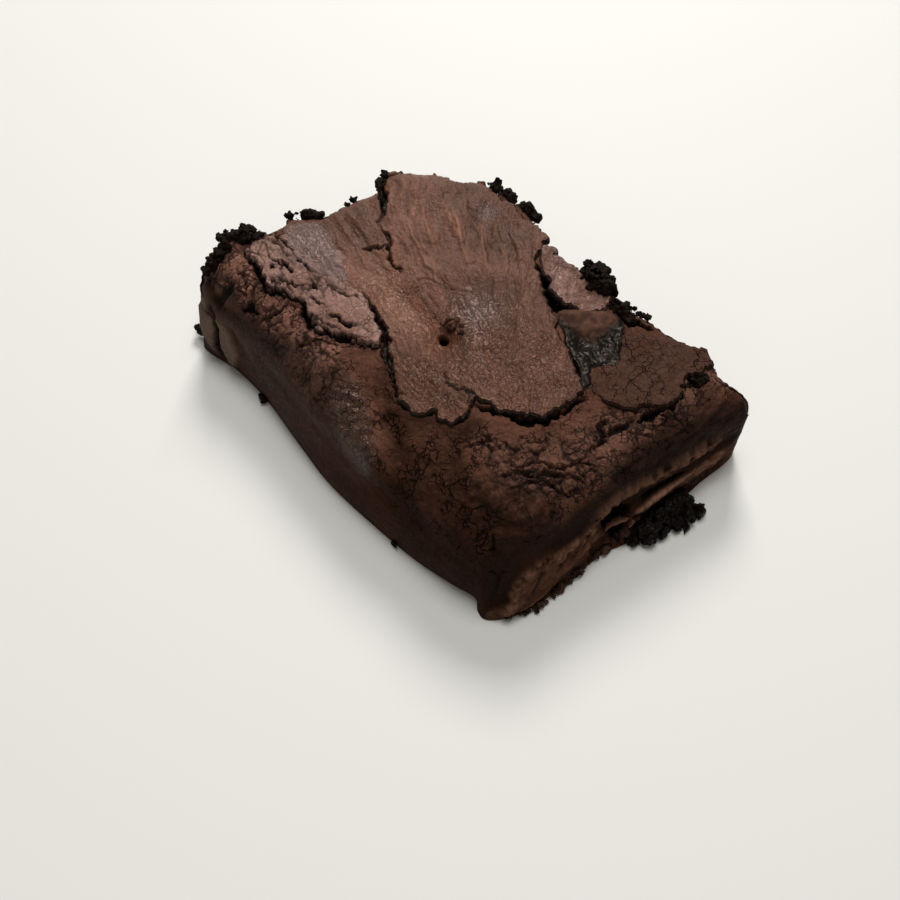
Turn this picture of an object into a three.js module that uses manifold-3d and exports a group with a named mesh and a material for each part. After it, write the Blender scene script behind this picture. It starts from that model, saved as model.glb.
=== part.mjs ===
// A corner piece of tray-baked chocolate brownie, in millimetres, +Z up.
// Its front (-Y) and right (+X) sides were baked against the tin, and its back and left sides are cut.
// The top is a papery crust that has lifted into plates, with open cracks between them.
import * as THREE from "three";
import { mergeVertices } from "three/addons/utils/BufferGeometryUtils.js";
import Module from "manifold-3d";

const wasm = await Module();
wasm.setup();

// Driving dimensions
const CENTRE_HEIGHT = 25; // of the crumb under the middle plate
const FRONT_EDGE_HEIGHT = 13.5; // where the front wall turns into the shoulder
const RIGHT_EDGE_HEIGHT = 15;
const BACK_EDGE_HEIGHT = 24.4;
const LEFT_EDGE_HEIGHT = 22.6;
const FRONT_SHOULDER = 19; // how far the front shoulder reaches in from the edge
const RIGHT_SHOULDER = 8;
const PLATE_LIFT = 1.1; // how far a crust plate stands above the crumb
const PLATE_DEPTH = 1.0; // how far it reaches down into it
const PLATE_OVERHANG = 0.5; // how far it hangs out over a cut side
const CRACK_TOP = 40; // a crack's cutter ends well above the top
const GRID = 2.3; // spacing of the points on the top
const WALL_STEPS = 8;
const SIDE_STEPS = 200; // fine steps along a side, by which its length is measured
// Where the middle of the base lies in the outline's own coordinates
const MIDDLE = { x: 4.664, y: -2.869 };

// The base and the top's rim as closed outlines, from the left end of the front side and anticlockwise.
// Each side lists its points up to the next corner.
const BASE_SIDES = {
  front: [
    [-43.5, -33], [-33, -32], [-24, -32.2], [-10, -34.4], [0, -35.8], [14, -35.6], [26, -34.6], [34, -33],
    [39, -31.9], [41, -33.4],
  ],
  right: [[43.2, -33.6], [46.6, -29.2], [48, -24], [48.7, -16], [49.2, -7], [51, -1], [51.4, 8], [51.6, 18]],
  back: [[51, 29.6], [38, 28], [20, 25.6], [2, 24], [-10, 26]],
  left: [[-18, 25.5], [-30, 16.5], [-34.5, 5], [-39.5, -10], [-43.5, -24]],
};
const RIM_SIDES = {
  front: [[-45.5, -29.5], [-24, -31], [0, -33.4], [22, -33], [36, -32]],
  right: [[42.3, -29.5], [44.4, -23], [45.6, -12], [47.2, 2], [49.8, 18]],
  back: [
    [51.6, 29.8], [45.4, 27.2], [41.6, 29], [36.6, 28.2], [31, 27], [24, 25.8], [17, 25.4], [8, 24.6],
    [1, 23.2], [-5, 26.8],
  ],
  left: [
    [-18, 27], [-27.6, 21.8], [-35, 13.8], [-33.8, 10], [-34.6, 5], [-37, -2.6], [-40, -8.4], [-42.4, -16.4],
    [-46.6, -22.2],
  ],
};

// The crust plates, each by the points that its outline runs through
const MIDDLE_PLATE = [
  [-37, 12.6], [-33, 18], [-27.6, 22.4], [-18, 27.6], [-10, 28], [-3.5, 26.8], [0, 23.8], [1, 20.6],
  [5.6, 18], [11, 15], [16.3, 12.7], [22.4, 9.7], [27.2, 6.5], [29.9, 2], [29.4, -4.4], [25.6, -8.8],
  [20.6, -11.6], [17, -13], [18.6, -16.6], [14, -20], [10, -21.4], [6, -20.9], [-0.3, -17.6],
  [-6.5, -13.4], [-13.4, -11.2], [-18.7, -10.4], [-29.7, -6.1], [-39.5, -4], [-38, 4],
];
const LEFT_PLATE = [
  [-41.5, -10], [-39, -17], [-35.5, -20], [-31, -21.3], [-23.7, -20.6], [-18.8, -21.8], [-13.8, -21.3],
  [-8.8, -19.5], [-4.2, -17.2], [-5.2, -14.6], [-9.9, -12.4], [-13.8, -11.6], [-18.7, -11], [-29.7, -6.7],
  [-37, -5.6],
];
const RIGHT_PLATE = [
  [25.8, 19.2], [25.9, 22.6], [31.4, 25.9], [36, 28.4], [39.4, 29.6], [41.2, 26.8], [39.8, 23.6], [39.8, 17],
  [39.5, 11], [36.8, 6.8], [33, 5.6], [30, 8], [27.8, 11.4], [28.3, 15],
];
const BACK_FLAKE = [
  [-0.4, 23.2], [4.5, 24.8], [9, 25.8], [16, 26.6], [18.4, 23.4], [18.2, 20.7], [15.2, 18.6], [11.8, 17.4],
  [7.6, 18.3], [2.2, 21.2],
];

// The open cracks: the points that each runs through, its width at the middle and its depth
const CRACKS = [
  {
    width: 1.3,
    depth: 3,
    run: [[-38, 14], [-32, 8.4], [-28, 6.1], [-25.4, 3.6], [-22.4, 1.4], [-19.9, -0.4]],
  },
  { width: 0.8, depth: 1.6, run: [[-25, -4.4], [-22.5, -2], [-20, 0]] },
  {
    width: 1.5,
    depth: 2.6,
    run: [
      [-40, -15], [-35.6, -20.6], [-31, -22], [-24, -21.5], [-19, -22.6], [-13.8, -22.1], [-8.6, -20.3],
      [-3.6, -17.8],
    ],
  },
  { width: 1.7, depth: 3, run: [[-13.6, -11.4], [-8, -13.2], [-4.2, -15.8], [-1, -18.6], [4, -21.8]] },
  {
    width: 1.6,
    depth: 2.6,
    run: [[8, -22.2], [14, -21], [19, -17.6], [23.4, -11.4], [28.4, -8], [31, -2.4], [30.6, 4]],
  },
  { width: 2.2, depth: 3, run: [[0.4, 21.4], [6, 18.2], [12, 16], [17, 17.6]] },
  { width: 2, depth: 4, run: [[42, 28], [40.8, 22], [40.7, 16], [40.4, 10], [39.4, 4.4], [38, -2]] },
  { width: 1, depth: 1.6, run: [[24.6, -17.6], [32.2, -18.6], [36, -17.8], [39.6, -15], [42, -9]] },
  { width: 1.8, depth: 2.6, run: [[19, 26.6], [24.6, 24.4], [31, 27.6]] },
];

// Soft dips and bumps of the top: middle x and y, reach along x and y, and depth or height
const DIPS = [
  [3.6, -7, 3, 3, 1.2], [-8, -7, 9, 2.6, 0.7], [22, 14, 5, 4, 1.6], [3, -27, 7, 5, 1], [-41, -19, 3, 3, 1.4],
];
const BUMPS = [
  [-15, -26, 9, 4, 0.9], [22, -26, 9, 5, 0.7], [43.6, 14, 2, 14, 1.2], [-33, -25, 6, 4, 1.1],
];
const RIGHT_SINK = 1.2; // the top's fall towards the right end
const BACK_CORNER_SINK = 0.6;

// The right wall: a crease runs along it, with a recess below and one torn hollow
const CREASE = { atFront: 3, atMiddle: 8, rise: 1.5, stand: 1.1, reach: 1.6, recess: 1.2 };
const TORN_HOLLOW = [-4, 4, 4, 4, 2.2]; // middle y and z, reach along y and z, depth
// The front wall: a gentle belly, and at its left end two lobes with a groove between them
const BELLY = 0.9;
const LOBES = {
  from: -34, fade: 8, low: 6, lowReach: 4, stand: 1.2, groove: 12, grooveReach: 1.6, depth: 1.6,
};

// Small deterministic helpers
const clamp01 = (v) => Math.min(1, Math.max(0, v));
const smooth = (v) => clamp01(v) ** 2 * (3 - 2 * clamp01(v));
const lerp = (a, b, t) => a + (b - a) * t;

function hash(i, j, k) {
  const s = Math.sin(i * 127.1 + j * 311.7 + k * 74.7) * 43758.5453;
  return (s - Math.floor(s)) * 2 - 1;
}

// Value noise from -1 to 1 that changes over about one unit
function noise(x, y, z = 0) {
  const [i, j, k] = [Math.floor(x), Math.floor(y), Math.floor(z)];
  const [u, v, w] = [smooth(x - i), smooth(y - j), smooth(z - k)];
  const edge = (dj, dk) => lerp(hash(i, j + dj, k + dk), hash(i + 1, j + dj, k + dk), u);
  return lerp(lerp(edge(0, 0), edge(1, 0), v), lerp(edge(0, 1), edge(1, 1), v), w);
}

// A soft hill of the given height; its width is the distance at which it has mostly faded
const hill = (x, y, cx, cy, wx, wy, height) =>
  height * Math.exp(-(((x - cx) / wx) ** 2) - ((y - cy) / wy) ** 2);

const curve = (points, closed) =>
  new THREE.CatmullRomCurve3(points.map(([x, y]) => new THREE.Vector3(x, y, 0)), closed, "centripetal");

// One side of a closed outline, as evenly spaced points from its first corner to the next
function sidesOf(sides, counts) {
  const names = Object.keys(sides);
  const all = names.flatMap((name) => sides[name]);
  const line = curve(all, true);
  let first = 0;
  return Object.fromEntries(
    names.map((name) => {
      const last = first + sides[name].length;
      const pointAt = (t) => line.getPoint(lerp(first, last, t) / all.length);
      const fine = Array.from({ length: SIDE_STEPS + 1 }, (_, i) => pointAt(i / SIDE_STEPS));
      first = last;
      const along = [0];
      fine.slice(1).forEach((p, i) => along.push(along[i] + p.distanceTo(fine[i])));
      const at = (share) => {
        const wanted = share * along[SIDE_STEPS];
        const i = Math.min(SIDE_STEPS - 1, Math.max(0, along.findIndex((a) => a >= wanted) - 1));
        return fine[i].clone().lerp(fine[i + 1], clamp01((wanted - along[i]) / (along[i + 1] - along[i])));
      };
      return [name, Array.from({ length: counts[name] + 1 }, (_, i) => at(i / counts[name]))];
    }),
  );
}

const COLUMNS = Math.round(96 / GRID);
const ROWS = Math.round(62 / GRID);
const COUNTS = { front: COLUMNS, right: ROWS, back: COLUMNS, left: ROWS };
const base = sidesOf(BASE_SIDES, COUNTS);
const rim = sidesOf(RIM_SIDES, COUNTS);

// A point of the top, by its shares along and across, blended from the four sides of the rim
function topPoint(i, j) {
  const [u, v] = [i / COLUMNS, j / ROWS];
  const mix = (axis) => {
    const [f, b] = [rim.front[i][axis], rim.back[COLUMNS - i][axis]];
    const [l, r] = [rim.left[ROWS - j][axis], rim.right[j][axis]];
    const corners =
      (1 - u) * (1 - v) * rim.front[0][axis] + u * (1 - v) * rim.right[0][axis] +
      u * v * rim.back[0][axis] + (1 - u) * v * rim.left[0][axis];
    return (1 - v) * f + v * b + (1 - u) * l + u * r - corners;
  };
  return new THREE.Vector2(mix("x"), mix("y"));
}

function distanceToRun(p, run) {
  let nearest = Infinity;
  for (let i = 0; i + 1 < run.length; i++) {
    const [a, b] = [run[i], run[i + 1]];
    const [dx, dy] = [b.x - a.x, b.y - a.y];
    const t = clamp01(((p.x - a.x) * dx + (p.y - a.y) * dy) / (dx * dx + dy * dy));
    nearest = Math.min(nearest, Math.hypot(p.x - a.x - t * dx, p.y - a.y - t * dy));
  }
  return nearest;
}

// Height of the crumb's top at a point: a dome that turns down in a quarter ellipse at the two tin sides
function crumbHeight(p) {
  const fall = (distance, reach) => 1 - Math.sqrt(1 - (1 - clamp01(distance / reach)) ** 2);
  const front = (CENTRE_HEIGHT - FRONT_EDGE_HEIGHT) * fall(distanceToRun(p, rim.front), FRONT_SHOULDER);
  const right = (CENTRE_HEIGHT - RIGHT_EDGE_HEIGHT) * fall(distanceToRun(p, rim.right), RIGHT_SHOULDER);
  const cutBack = (CENTRE_HEIGHT - BACK_EDGE_HEIGHT) * fall(distanceToRun(p, rim.back), 5);
  const cutLeft = (CENTRE_HEIGHT - LEFT_EDGE_HEIGHT) * fall(distanceToRun(p, rim.left), 7);
  const drop = (front ** 3 + right ** 3 + cutBack ** 3 + cutLeft ** 3) ** (1 / 3);
  const sum = (hills) => hills.reduce((total, h) => total + hill(p.x, p.y, ...h), 0);
  const sink = RIGHT_SINK * smooth((p.x - 24) / 16) + BACK_CORNER_SINK * smooth((p.x + p.y - 22) / 20);
  return CENTRE_HEIGHT - drop - sink - sum(DIPS) + sum(BUMPS) + 0.3 * noise(p.x / 4, p.y / 4);
}

// How far a wall stands out from the straight line between base and rim, by side and height
function wallBulge(side, x, y, z, share) {
  const band = (middle, reach) => Math.exp(-(((z - middle) / reach) ** 2));
  if (side === "right") {
    const { atFront, atMiddle, rise, stand, reach, recess } = CREASE;
    const crease = lerp(atFront, atMiddle, smooth((y + 28) / 20)) + rise * smooth((y - 8) / 16);
    const below = recess * smooth((crease - z) / 2.5);
    return stand * band(crease, reach) - below - hill(y, z, ...TORN_HOLLOW) + 0.3 * noise(y / 3, z / 2, 5);
  }
  if (side === "front") {
    const { from, fade, low, lowReach, stand, groove, grooveReach, depth } = LOBES;
    const folds = stand * band(low, lowReach) - depth * band(groove, grooveReach);
    return BELLY * Math.sin(Math.PI * share) + smooth((from - x) / fade) * folds;
  }
  return 0.8 * noise(x / 3, y / 3, z / 3) + 0.4 * noise(x, y, z);
}

// The brownie without its plates: a grid over the top, walls round it and one flat face below.
// Positions go into one list, and faces into another.
function bodyGeometry() {
  const points = [];
  const faces = [];
  const add = (x, y, z) => points.push([x, y, z]) - 1;
  const quad = (a, b, c, d) => faces.push([a, b, c], [a, c, d]);

  const top = [];
  for (let j = 0; j <= ROWS; j++) {
    top.push([]);
    for (let i = 0; i <= COLUMNS; i++) {
      const p = topPoint(i, j);
      top[j].push(add(p.x, p.y, crumbHeight(p)));
    }
  }
  for (let j = 0; j < ROWS; j++)
    for (let i = 0; i < COLUMNS; i++) quad(top[j][i], top[j][i + 1], top[j + 1][i + 1], top[j + 1][i]);

  // The rim's points in order round the piece, with the base point that each stands over
  const loop = [];
  const post = (side, above, foot) => loop.push({ side, above, foot });
  for (let i = 0; i < COLUMNS; i++) post("front", top[0][i], base.front[i]);
  for (let j = 0; j < ROWS; j++) post("right", top[j][COLUMNS], base.right[j]);
  for (let i = 0; i < COLUMNS; i++) post("back", top[ROWS][COLUMNS - i], base.back[i]);
  for (let j = 0; j < ROWS; j++) post("left", top[ROWS - j][0], base.left[j]);

  const n = loop.length;
  const corners = [0, COLUMNS, COLUMNS + ROWS, 2 * COLUMNS + ROWS, n];
  const levels = [loop.map((l) => l.above)];
  for (let level = WALL_STEPS - 1; level >= 0; level--) {
    const share = level / WALL_STEPS;
    levels.push(
      loop.map((l, i) => {
        const [rx, ry, rz] = points[l.above];
        const before = loop[(i + n - 1) % n].foot;
        const after = loop[(i + 1) % n].foot;
        const out = new THREE.Vector2(after.y - before.y, before.x - after.x).normalize();
        const fade = smooth(Math.min(...corners.map((c) => Math.abs(i - c))) / 3) * smooth((1 - share) * 5);
        const z = rz * share;
        const push = level && fade * wallBulge(l.side, l.foot.x, l.foot.y, z, share);
        return add(lerp(l.foot.x, rx, share) + out.x * push, lerp(l.foot.y, ry, share) + out.y * push, z);
      }),
    );
  }
  for (let k = 0; k < WALL_STEPS; k++)
    for (let i = 0; i < n; i++) {
      const next = (i + 1) % n;
      quad(levels[k + 1][i], levels[k + 1][next], levels[k][next], levels[k][i]);
    }

  const foot = levels[WALL_STEPS];
  const outline = foot.map((i) => new THREE.Vector2(points[i][0], points[i][1]));
  for (const [a, b, c] of THREE.ShapeUtils.triangulateShape(outline, []))
    faces.push([foot[a], foot[c], foot[b]]);
  return geometryOf(points, faces);
}

// A thin sheet over the whole top, from which the crust plates are cut
function crustGeometry() {
  const points = [];
  const faces = [];
  const centre = new THREE.Vector2(MIDDLE.x, MIDDLE.y);
  for (const lift of [PLATE_LIFT, -PLATE_DEPTH])
    for (let j = 0; j <= ROWS; j++)
      for (let i = 0; i <= COLUMNS; i++) {
        const p = topPoint(i, j);
        const onRim = i === 0 || j === 0 || i === COLUMNS || j === ROWS;
        const height = crumbHeight(p) + lift;
        if (onRim) p.add(p.clone().sub(centre).setLength(PLATE_OVERHANG));
        points.push([p.x, p.y, height]);
      }
  const at = (sheet, i, j) => (sheet * (ROWS + 1) + j) * (COLUMNS + 1) + i;
  const quad = (a, b, c, d) => faces.push([a, b, c], [a, c, d]);
  for (let j = 0; j < ROWS; j++)
    for (let i = 0; i < COLUMNS; i++) {
      quad(at(0, i, j), at(0, i + 1, j), at(0, i + 1, j + 1), at(0, i, j + 1));
      quad(at(1, i, j), at(1, i, j + 1), at(1, i + 1, j + 1), at(1, i + 1, j));
    }
  for (let i = 0; i < COLUMNS; i++) {
    quad(at(1, i, 0), at(1, i + 1, 0), at(0, i + 1, 0), at(0, i, 0));
    quad(at(0, i, ROWS), at(0, i + 1, ROWS), at(1, i + 1, ROWS), at(1, i, ROWS));
  }
  for (let j = 0; j < ROWS; j++) {
    quad(at(0, 0, j), at(0, 0, j + 1), at(1, 0, j + 1), at(1, 0, j));
    quad(at(1, COLUMNS, j), at(1, COLUMNS, j + 1), at(0, COLUMNS, j + 1), at(0, COLUMNS, j));
  }
  return geometryOf(points, faces);
}

function geometryOf(points, faces) {
  return new THREE.BufferGeometry()
    .setAttribute("position", new THREE.Float32BufferAttribute(points.flat(), 3))
    .setIndex(faces.flat());
}

function solidOf(geometry) {
  geometry.deleteAttribute("normal");
  geometry.deleteAttribute("uv");
  const merged = mergeVertices(geometry, 1e-4);
  return new wasm.Manifold(
    new wasm.Mesh({
      numProp: 3,
      vertProperties: new Float32Array(merged.attributes.position.array),
      triVerts: new Uint32Array(merged.index.array),
    }),
  );
}

// A vertical prism over a closed outline in the plane
function prism(outline, from, to) {
  const shape = new THREE.Shape(outline);
  const geometry = new THREE.ExtrudeGeometry(shape, { depth: to - from, bevelEnabled: false });
  geometry.translate(0, 0, from);
  return solidOf(geometry);
}

// A closed outline through the points, broken up as crisp crust breaks
function ragged(points, step, depth) {
  const line = curve(points, true);
  const count = Math.round(line.getLength() / step);
  const at = line.getSpacedPoints(count).slice(0, count);
  return at.map((p, i) => {
    const along = at[(i + 1) % count].clone().sub(at[(i + count - 1) % count]).normalize();
    const push = depth * (noise(p.x / 2.2, p.y / 2.2, 9) + 0.5 * noise(p.x, p.y, 3));
    return new THREE.Vector2(p.x + along.y * push, p.y - along.x * push);
  });
}

// The cutter of one crack: a ribbon that is widest at its middle and comes to a point at both ends
function crackCutter({ run, width, depth }) {
  const line = curve(run, false);
  const count = Math.max(4, Math.round(line.getLength() / 2.2));
  const points = line.getSpacedPoints(count);
  const floor = Math.min(...points.map((p) => crumbHeight(p))) - depth;
  const sides = [[], []];
  points.forEach((p, i) => {
    const tangent = line.getTangentAt(i / count);
    const taper = Math.sin(Math.PI * ((i + 0.15) / (count + 0.3))) ** 0.5;
    const half = 0.5 * width * taper * (1 + 0.4 * noise(p.x, p.y, 7));
    sides[0].push(new THREE.Vector2(p.x + tangent.y * half, p.y - tangent.x * half));
    sides[1].push(new THREE.Vector2(p.x - tangent.y * half, p.y + tangent.x * half));
  });
  return prism([...sides[0], ...sides[1].reverse()], floor, CRACK_TOP);
}

// A rough crumb of fudgy cake
function crumb(x, y, z, radius, detail = 1) {
  const ball = new THREE.IcosahedronGeometry(radius, detail);
  const at = ball.attributes.position;
  for (let i = 0; i < at.count; i++) {
    const v = new THREE.Vector3().fromBufferAttribute(at, i);
    const n = v.clone().multiplyScalar(1.7 / radius);
    v.multiplyScalar(1 + 0.22 * noise(n.x + x, n.y + y, n.z));
    at.setXYZ(i, v.x + x, v.y + y, v.z + z);
  }
  return solidOf(ball);
}

// Crumbs torn loose along a cut edge: a row of them between two points of the top
function crumbRow(from, to, count, radius) {
  return Array.from({ length: count }, (_, i) => {
    const t = (i + 0.5) / count;
    const p = new THREE.Vector2(lerp(from[0], to[0], t), lerp(from[1], to[1], t));
    const size = radius * (1 + 0.35 * noise(p.x, p.y, 2));
    return crumb(p.x + 0.5 * noise(p.x, i), p.y + 0.5 * noise(p.y, i, 4), crumbHeight(p) - 0.3 * size, size);
  });
}

const onTop = (x, y, above) => crumbHeight(new THREE.Vector2(x, y)) + above;

// The nub that stands on the middle plate
const nub = crumb(2.6, -4.2, onTop(2.6, -4.2, PLATE_LIFT + 0.3), 1.5);
// The lump of soft fudge that squeezed out under the right side
const lump = [
  crumb(50.6, 2.4, 2.2, 3, 2), crumb(52, 8, 3, 3.6, 2), crumb(52.4, 12.4, 2.8, 3, 2),
  crumb(55.6, 12.4, 1.9, 1.5), crumb(56.2, 9.4, 1.7, 1.2), crumb(54.2, 4, 1.2, 1.6),
].map((c) => c.trimByPlane([0, 0, 1], 0));
// What tore along the back and the left cut
const tornCrumbs = [
  ...crumbRow([-46.6, -22.6], [-43.4, -16], 4, 1.8), ...crumbRow([-42, -8.6], [-40.6, -5], 3, 1.2),
  ...crumbRow([-13, 26.6], [-3, 26.6], 5, 1.2), ...crumbRow([13, 25], [17.6, 25.8], 3, 2),
  ...crumbRow([19.6, 25], [30.6, 26], 6, 1.2), ...crumbRow([43.6, 27], [48.6, 28.8], 3, 1.1),
];

const crust = solidOf(crustGeometry());
const plates = [MIDDLE_PLATE, LEFT_PLATE, RIGHT_PLATE, BACK_FLAKE].map((outline) =>
  crust.intersect(prism(ragged(outline, 1.9, 0.5), 0, CRACK_TOP)),
);

let solid = solidOf(bodyGeometry());
for (const piece of [...plates, nub, ...lump, ...tornCrumbs]) solid = solid.add(piece);
for (const crack of CRACKS) solid = solid.subtract(crackCutter(crack));
solid = solid.simplify(0.03);

// Only the largest body is kept, so that no loose scrap is left beside it
const whole = solid.decompose().sort((a, b) => b.volume() - a.volume())[0];

const mesh = whole.getMesh();
const positions = new Float32Array(mesh.numVert * 3);
for (let i = 0; i < mesh.numVert; i++)
  positions.set(mesh.vertProperties.subarray(i * mesh.numProp, i * mesh.numProp + 3), i * 3);
const geometry = new THREE.BufferGeometry()
  .setAttribute("position", new THREE.BufferAttribute(positions, 3))
  .setIndex(new THREE.BufferAttribute(mesh.triVerts, 1));
geometry.computeVertexNormals();

const brownie = new THREE.Mesh(
  geometry,
  new THREE.MeshStandardMaterial({ color: 0x4a2c22, roughness: 0.62, metalness: 0 }),
);
brownie.name = "brownie";
brownie.position.set(-MIDDLE.x, -MIDDLE.y, 0);

const part = new THREE.Group();
part.add(brownie);

export default part;
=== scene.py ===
# A corner piece of chocolate brownie: the fine surface, materials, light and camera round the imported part.
# Shapes are worked out in millimetres in the outline's own coordinates, +Z up, and moved to the part's frame
# as each mesh is made.
import math

import bmesh
import bpy
import numpy as np
from mathutils import Matrix, Vector, geometry


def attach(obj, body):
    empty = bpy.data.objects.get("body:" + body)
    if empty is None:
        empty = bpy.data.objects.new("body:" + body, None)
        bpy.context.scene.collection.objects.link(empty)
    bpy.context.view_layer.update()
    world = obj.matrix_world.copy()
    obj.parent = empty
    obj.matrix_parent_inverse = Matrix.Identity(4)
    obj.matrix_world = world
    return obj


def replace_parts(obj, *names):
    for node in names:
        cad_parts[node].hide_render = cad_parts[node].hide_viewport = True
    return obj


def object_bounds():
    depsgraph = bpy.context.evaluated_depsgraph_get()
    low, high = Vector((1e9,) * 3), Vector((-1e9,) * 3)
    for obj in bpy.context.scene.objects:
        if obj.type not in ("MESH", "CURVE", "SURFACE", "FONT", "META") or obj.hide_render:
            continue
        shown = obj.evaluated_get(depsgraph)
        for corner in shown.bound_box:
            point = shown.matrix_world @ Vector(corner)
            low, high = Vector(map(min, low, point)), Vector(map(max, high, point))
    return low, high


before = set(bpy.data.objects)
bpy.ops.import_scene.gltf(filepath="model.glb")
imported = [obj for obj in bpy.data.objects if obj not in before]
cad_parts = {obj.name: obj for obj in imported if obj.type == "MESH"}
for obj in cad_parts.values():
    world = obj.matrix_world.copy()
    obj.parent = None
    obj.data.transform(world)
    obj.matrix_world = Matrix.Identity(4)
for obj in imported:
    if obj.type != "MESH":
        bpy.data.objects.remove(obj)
cad_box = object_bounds()

# The frame's origin, in the outline's coordinates
MIDDLE = (4.664, -2.869)

# The camera, in the outline's coordinates, with a lens in millimetres and an image in pixels
CAMERA_AT = (118.4, -115.3, 257.4)
CAMERA_FORWARD = (-0.3601, 0.3454, -0.8666)
CAMERA_UP = (-0.6306, 0.5945, 0.4990)
CAMERA_LENS = 58.12
SENSOR = 36.0
IMAGE = 900

# The body's driving dimensions, as in the CAD, in millimetres
CENTRE_HEIGHT = 25.0
FRONT_EDGE_HEIGHT = 13.5
RIGHT_EDGE_HEIGHT = 15.0
BACK_EDGE_HEIGHT = 24.4
LEFT_EDGE_HEIGHT = 22.6
FRONT_SHOULDER = 19.0
RIGHT_SHOULDER = 8.0
BACK_SHOULDER = 5.0
LEFT_SHOULDER = 7.0

# The grid of the fine mesh, and the share of its columns over which a wall's bulge fades out at a corner
COLUMNS = 380
ROWS = 246
LEVELS = 60
CORNER_FADE = 0.071875

# The foot and the rim: the front, the right, the cut back and the cut left side
BASE_SIDES = [
    [(-43.5, -33), (-33, -32), (-24, -32.2), (-10, -34.4), (0, -35.8), (14, -35.6), (26, -34.6), (34, -33),
     (39, -31.9), (41, -33.4)],
    [(43.2, -33.6), (46.6, -29.2), (48, -24), (48.7, -16), (49.2, -7), (51, -1), (51.4, 8), (51.6, 18)],
    [(51, 29.6), (38, 28), (20, 25.6), (2, 24), (-10, 26)],
    [(-18, 25.5), (-30, 16.5), (-34.5, 5), (-39.5, -10), (-43.5, -24)],
]
RIM_SIDES = [
    [(-45.5, -29.5), (-24, -31), (0, -33.4), (22, -33), (36, -32)],
    [(42.3, -29.5), (44.4, -23), (45.6, -12), (47.2, 2), (49.8, 18)],
    [(51.6, 29.8), (45.4, 27.2), (41.6, 29), (36.6, 28.2), (31, 27), (24, 25.8), (17, 25.4), (8, 24.6),
     (1, 23.2), (-5, 26.8)],
    [(-18, 27), (-27.6, 21.8), (-35, 13.8), (-33.8, 10), (-34.6, 5), (-37, -2.6), (-40, -8.4), (-42.4, -16.4),
     (-46.6, -22.2)],
]

# Hills on a face: the middle, the half-width along each axis, and the height or depth
DIPS = [
    (3.6, -7, 3, 3, 1.2), (-8, -7, 9, 2.6, 0.7), (22, 14, 5, 4, 1.6), (3, -27, 7, 5, 1),
    (-41, -19, 3, 3, 1.4),
]
BUMPS = [(-15, -26, 9, 4, 0.9), (22, -26, 9, 5, 0.7), (43.6, 14, 2, 14, 1.2), (-33, -25, 6, 4, 1.1)]
TORN_HOLLOW = (-7, 3.2, 2.8, 2.8, 1.8)
TORN_MARK = (-7, 2.8, 2.4, 2.6, 1)

rng = np.random.default_rng(11)


# Small helpers on arrays
def smooth(v):
    v = np.clip(v, 0, 1)
    return v * v * (3 - 2 * v)


def hash3(i, j, k):
    s = np.sin(i * 127.1 + j * 311.7 + k * 74.7) * 43758.5453
    return (s - np.floor(s)) * 2 - 1


def noise(x, y, z=0.0):
    """Value noise from -1 to 1 that changes over about one unit."""
    x, y, z = np.broadcast_arrays(*(np.asarray(v, float) for v in (x, y, z)))
    i, j, k = np.floor(x), np.floor(y), np.floor(z)
    u, v, w = smooth(x - i), smooth(y - j), smooth(z - k)

    def edge(dj, dk):
        a, b = hash3(i, j + dj, k + dk), hash3(i + 1, j + dj, k + dk)
        return a + (b - a) * u

    low = edge(0, 0) + (edge(1, 0) - edge(0, 0)) * v
    high = edge(0, 1) + (edge(1, 1) - edge(0, 1)) * v
    return low + (high - low) * w


def layers(x, y, z, size, octaves=3, gain=0.5):
    """Several octaves of noise, the first of them `size` millimetres across."""
    total = 0
    for n in range(octaves):
        f = 2**n / size
        total = total + gain**n * noise(x * f + 7 * n, y * f - 3 * n, z * f + 5 * n)
    return total


def cells(x, y, z, size):
    """Of a broken-up pattern: the distance to the nearest border, a random value of the cell, and the
    distance to its middle."""
    p = np.stack([x, y, z]) / size
    base = np.floor(p)
    near = np.full(p.shape[1:], 9.0)
    second = near.copy()
    kind = np.zeros_like(near)
    for step in np.ndindex(3, 3, 3):
        cell = base + (np.array(step) - 1).reshape(3, *[1] * (p.ndim - 1))
        i, j, k = cell
        middle = cell + 0.5 + 0.45 * np.stack([hash3(i, j, k), hash3(j, k + 9, i), hash3(k, i, j + 5)])
        d = np.sqrt(((middle - p) ** 2).sum(0))
        closer = d < near
        second = np.where(closer, near, np.minimum(second, d))
        kind = np.where(closer, hash3(i + 3, j, k), kind)
        near = np.where(closer, d, near)
    return (second - near) * size, kind, near * size


def curve(points, closed, steps=24):
    """A centripetal Catmull-Rom curve through the points, as a list of points for each stretch of it."""
    p = np.array(points, float)
    n = len(p)
    if closed:
        p = np.vstack([p[-1:], p, p[:2]])
    else:
        p = np.vstack([2 * p[:1] - p[1:2], p, 2 * p[-1:] - p[-2:-1]])
    t = np.linspace(0, 1, steps, endpoint=False)[:, None]
    out = []
    for i in range(n if closed else n - 1):
        a, b, c, d = p[i : i + 4]
        ab, bc, cd = (max(np.hypot(*(v - u)) ** 0.5, 1e-4) for u, v in ((a, b), (b, c), (c, d)))
        m1 = ((b - a) / ab - (c - a) / (ab + bc) + (c - b) / bc) * bc
        m2 = ((c - b) / bc - (d - b) / (bc + cd) + (d - c) / cd) * bc
        out.append(b + m1 * t + (3 * (c - b) - 2 * m1 - m2) * t**2 + (2 * (b - c) + m1 + m2) * t**3)
    return out


def spaced(line, count):
    """The polyline again, as count + 1 evenly spaced points."""
    along = np.concatenate([[0], np.cumsum(np.hypot(*np.diff(line, axis=0).T))])
    wanted = np.linspace(0, along[-1], count + 1)
    return np.stack([np.interp(wanted, along, line[:, k]) for k in (0, 1)], 1)


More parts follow.
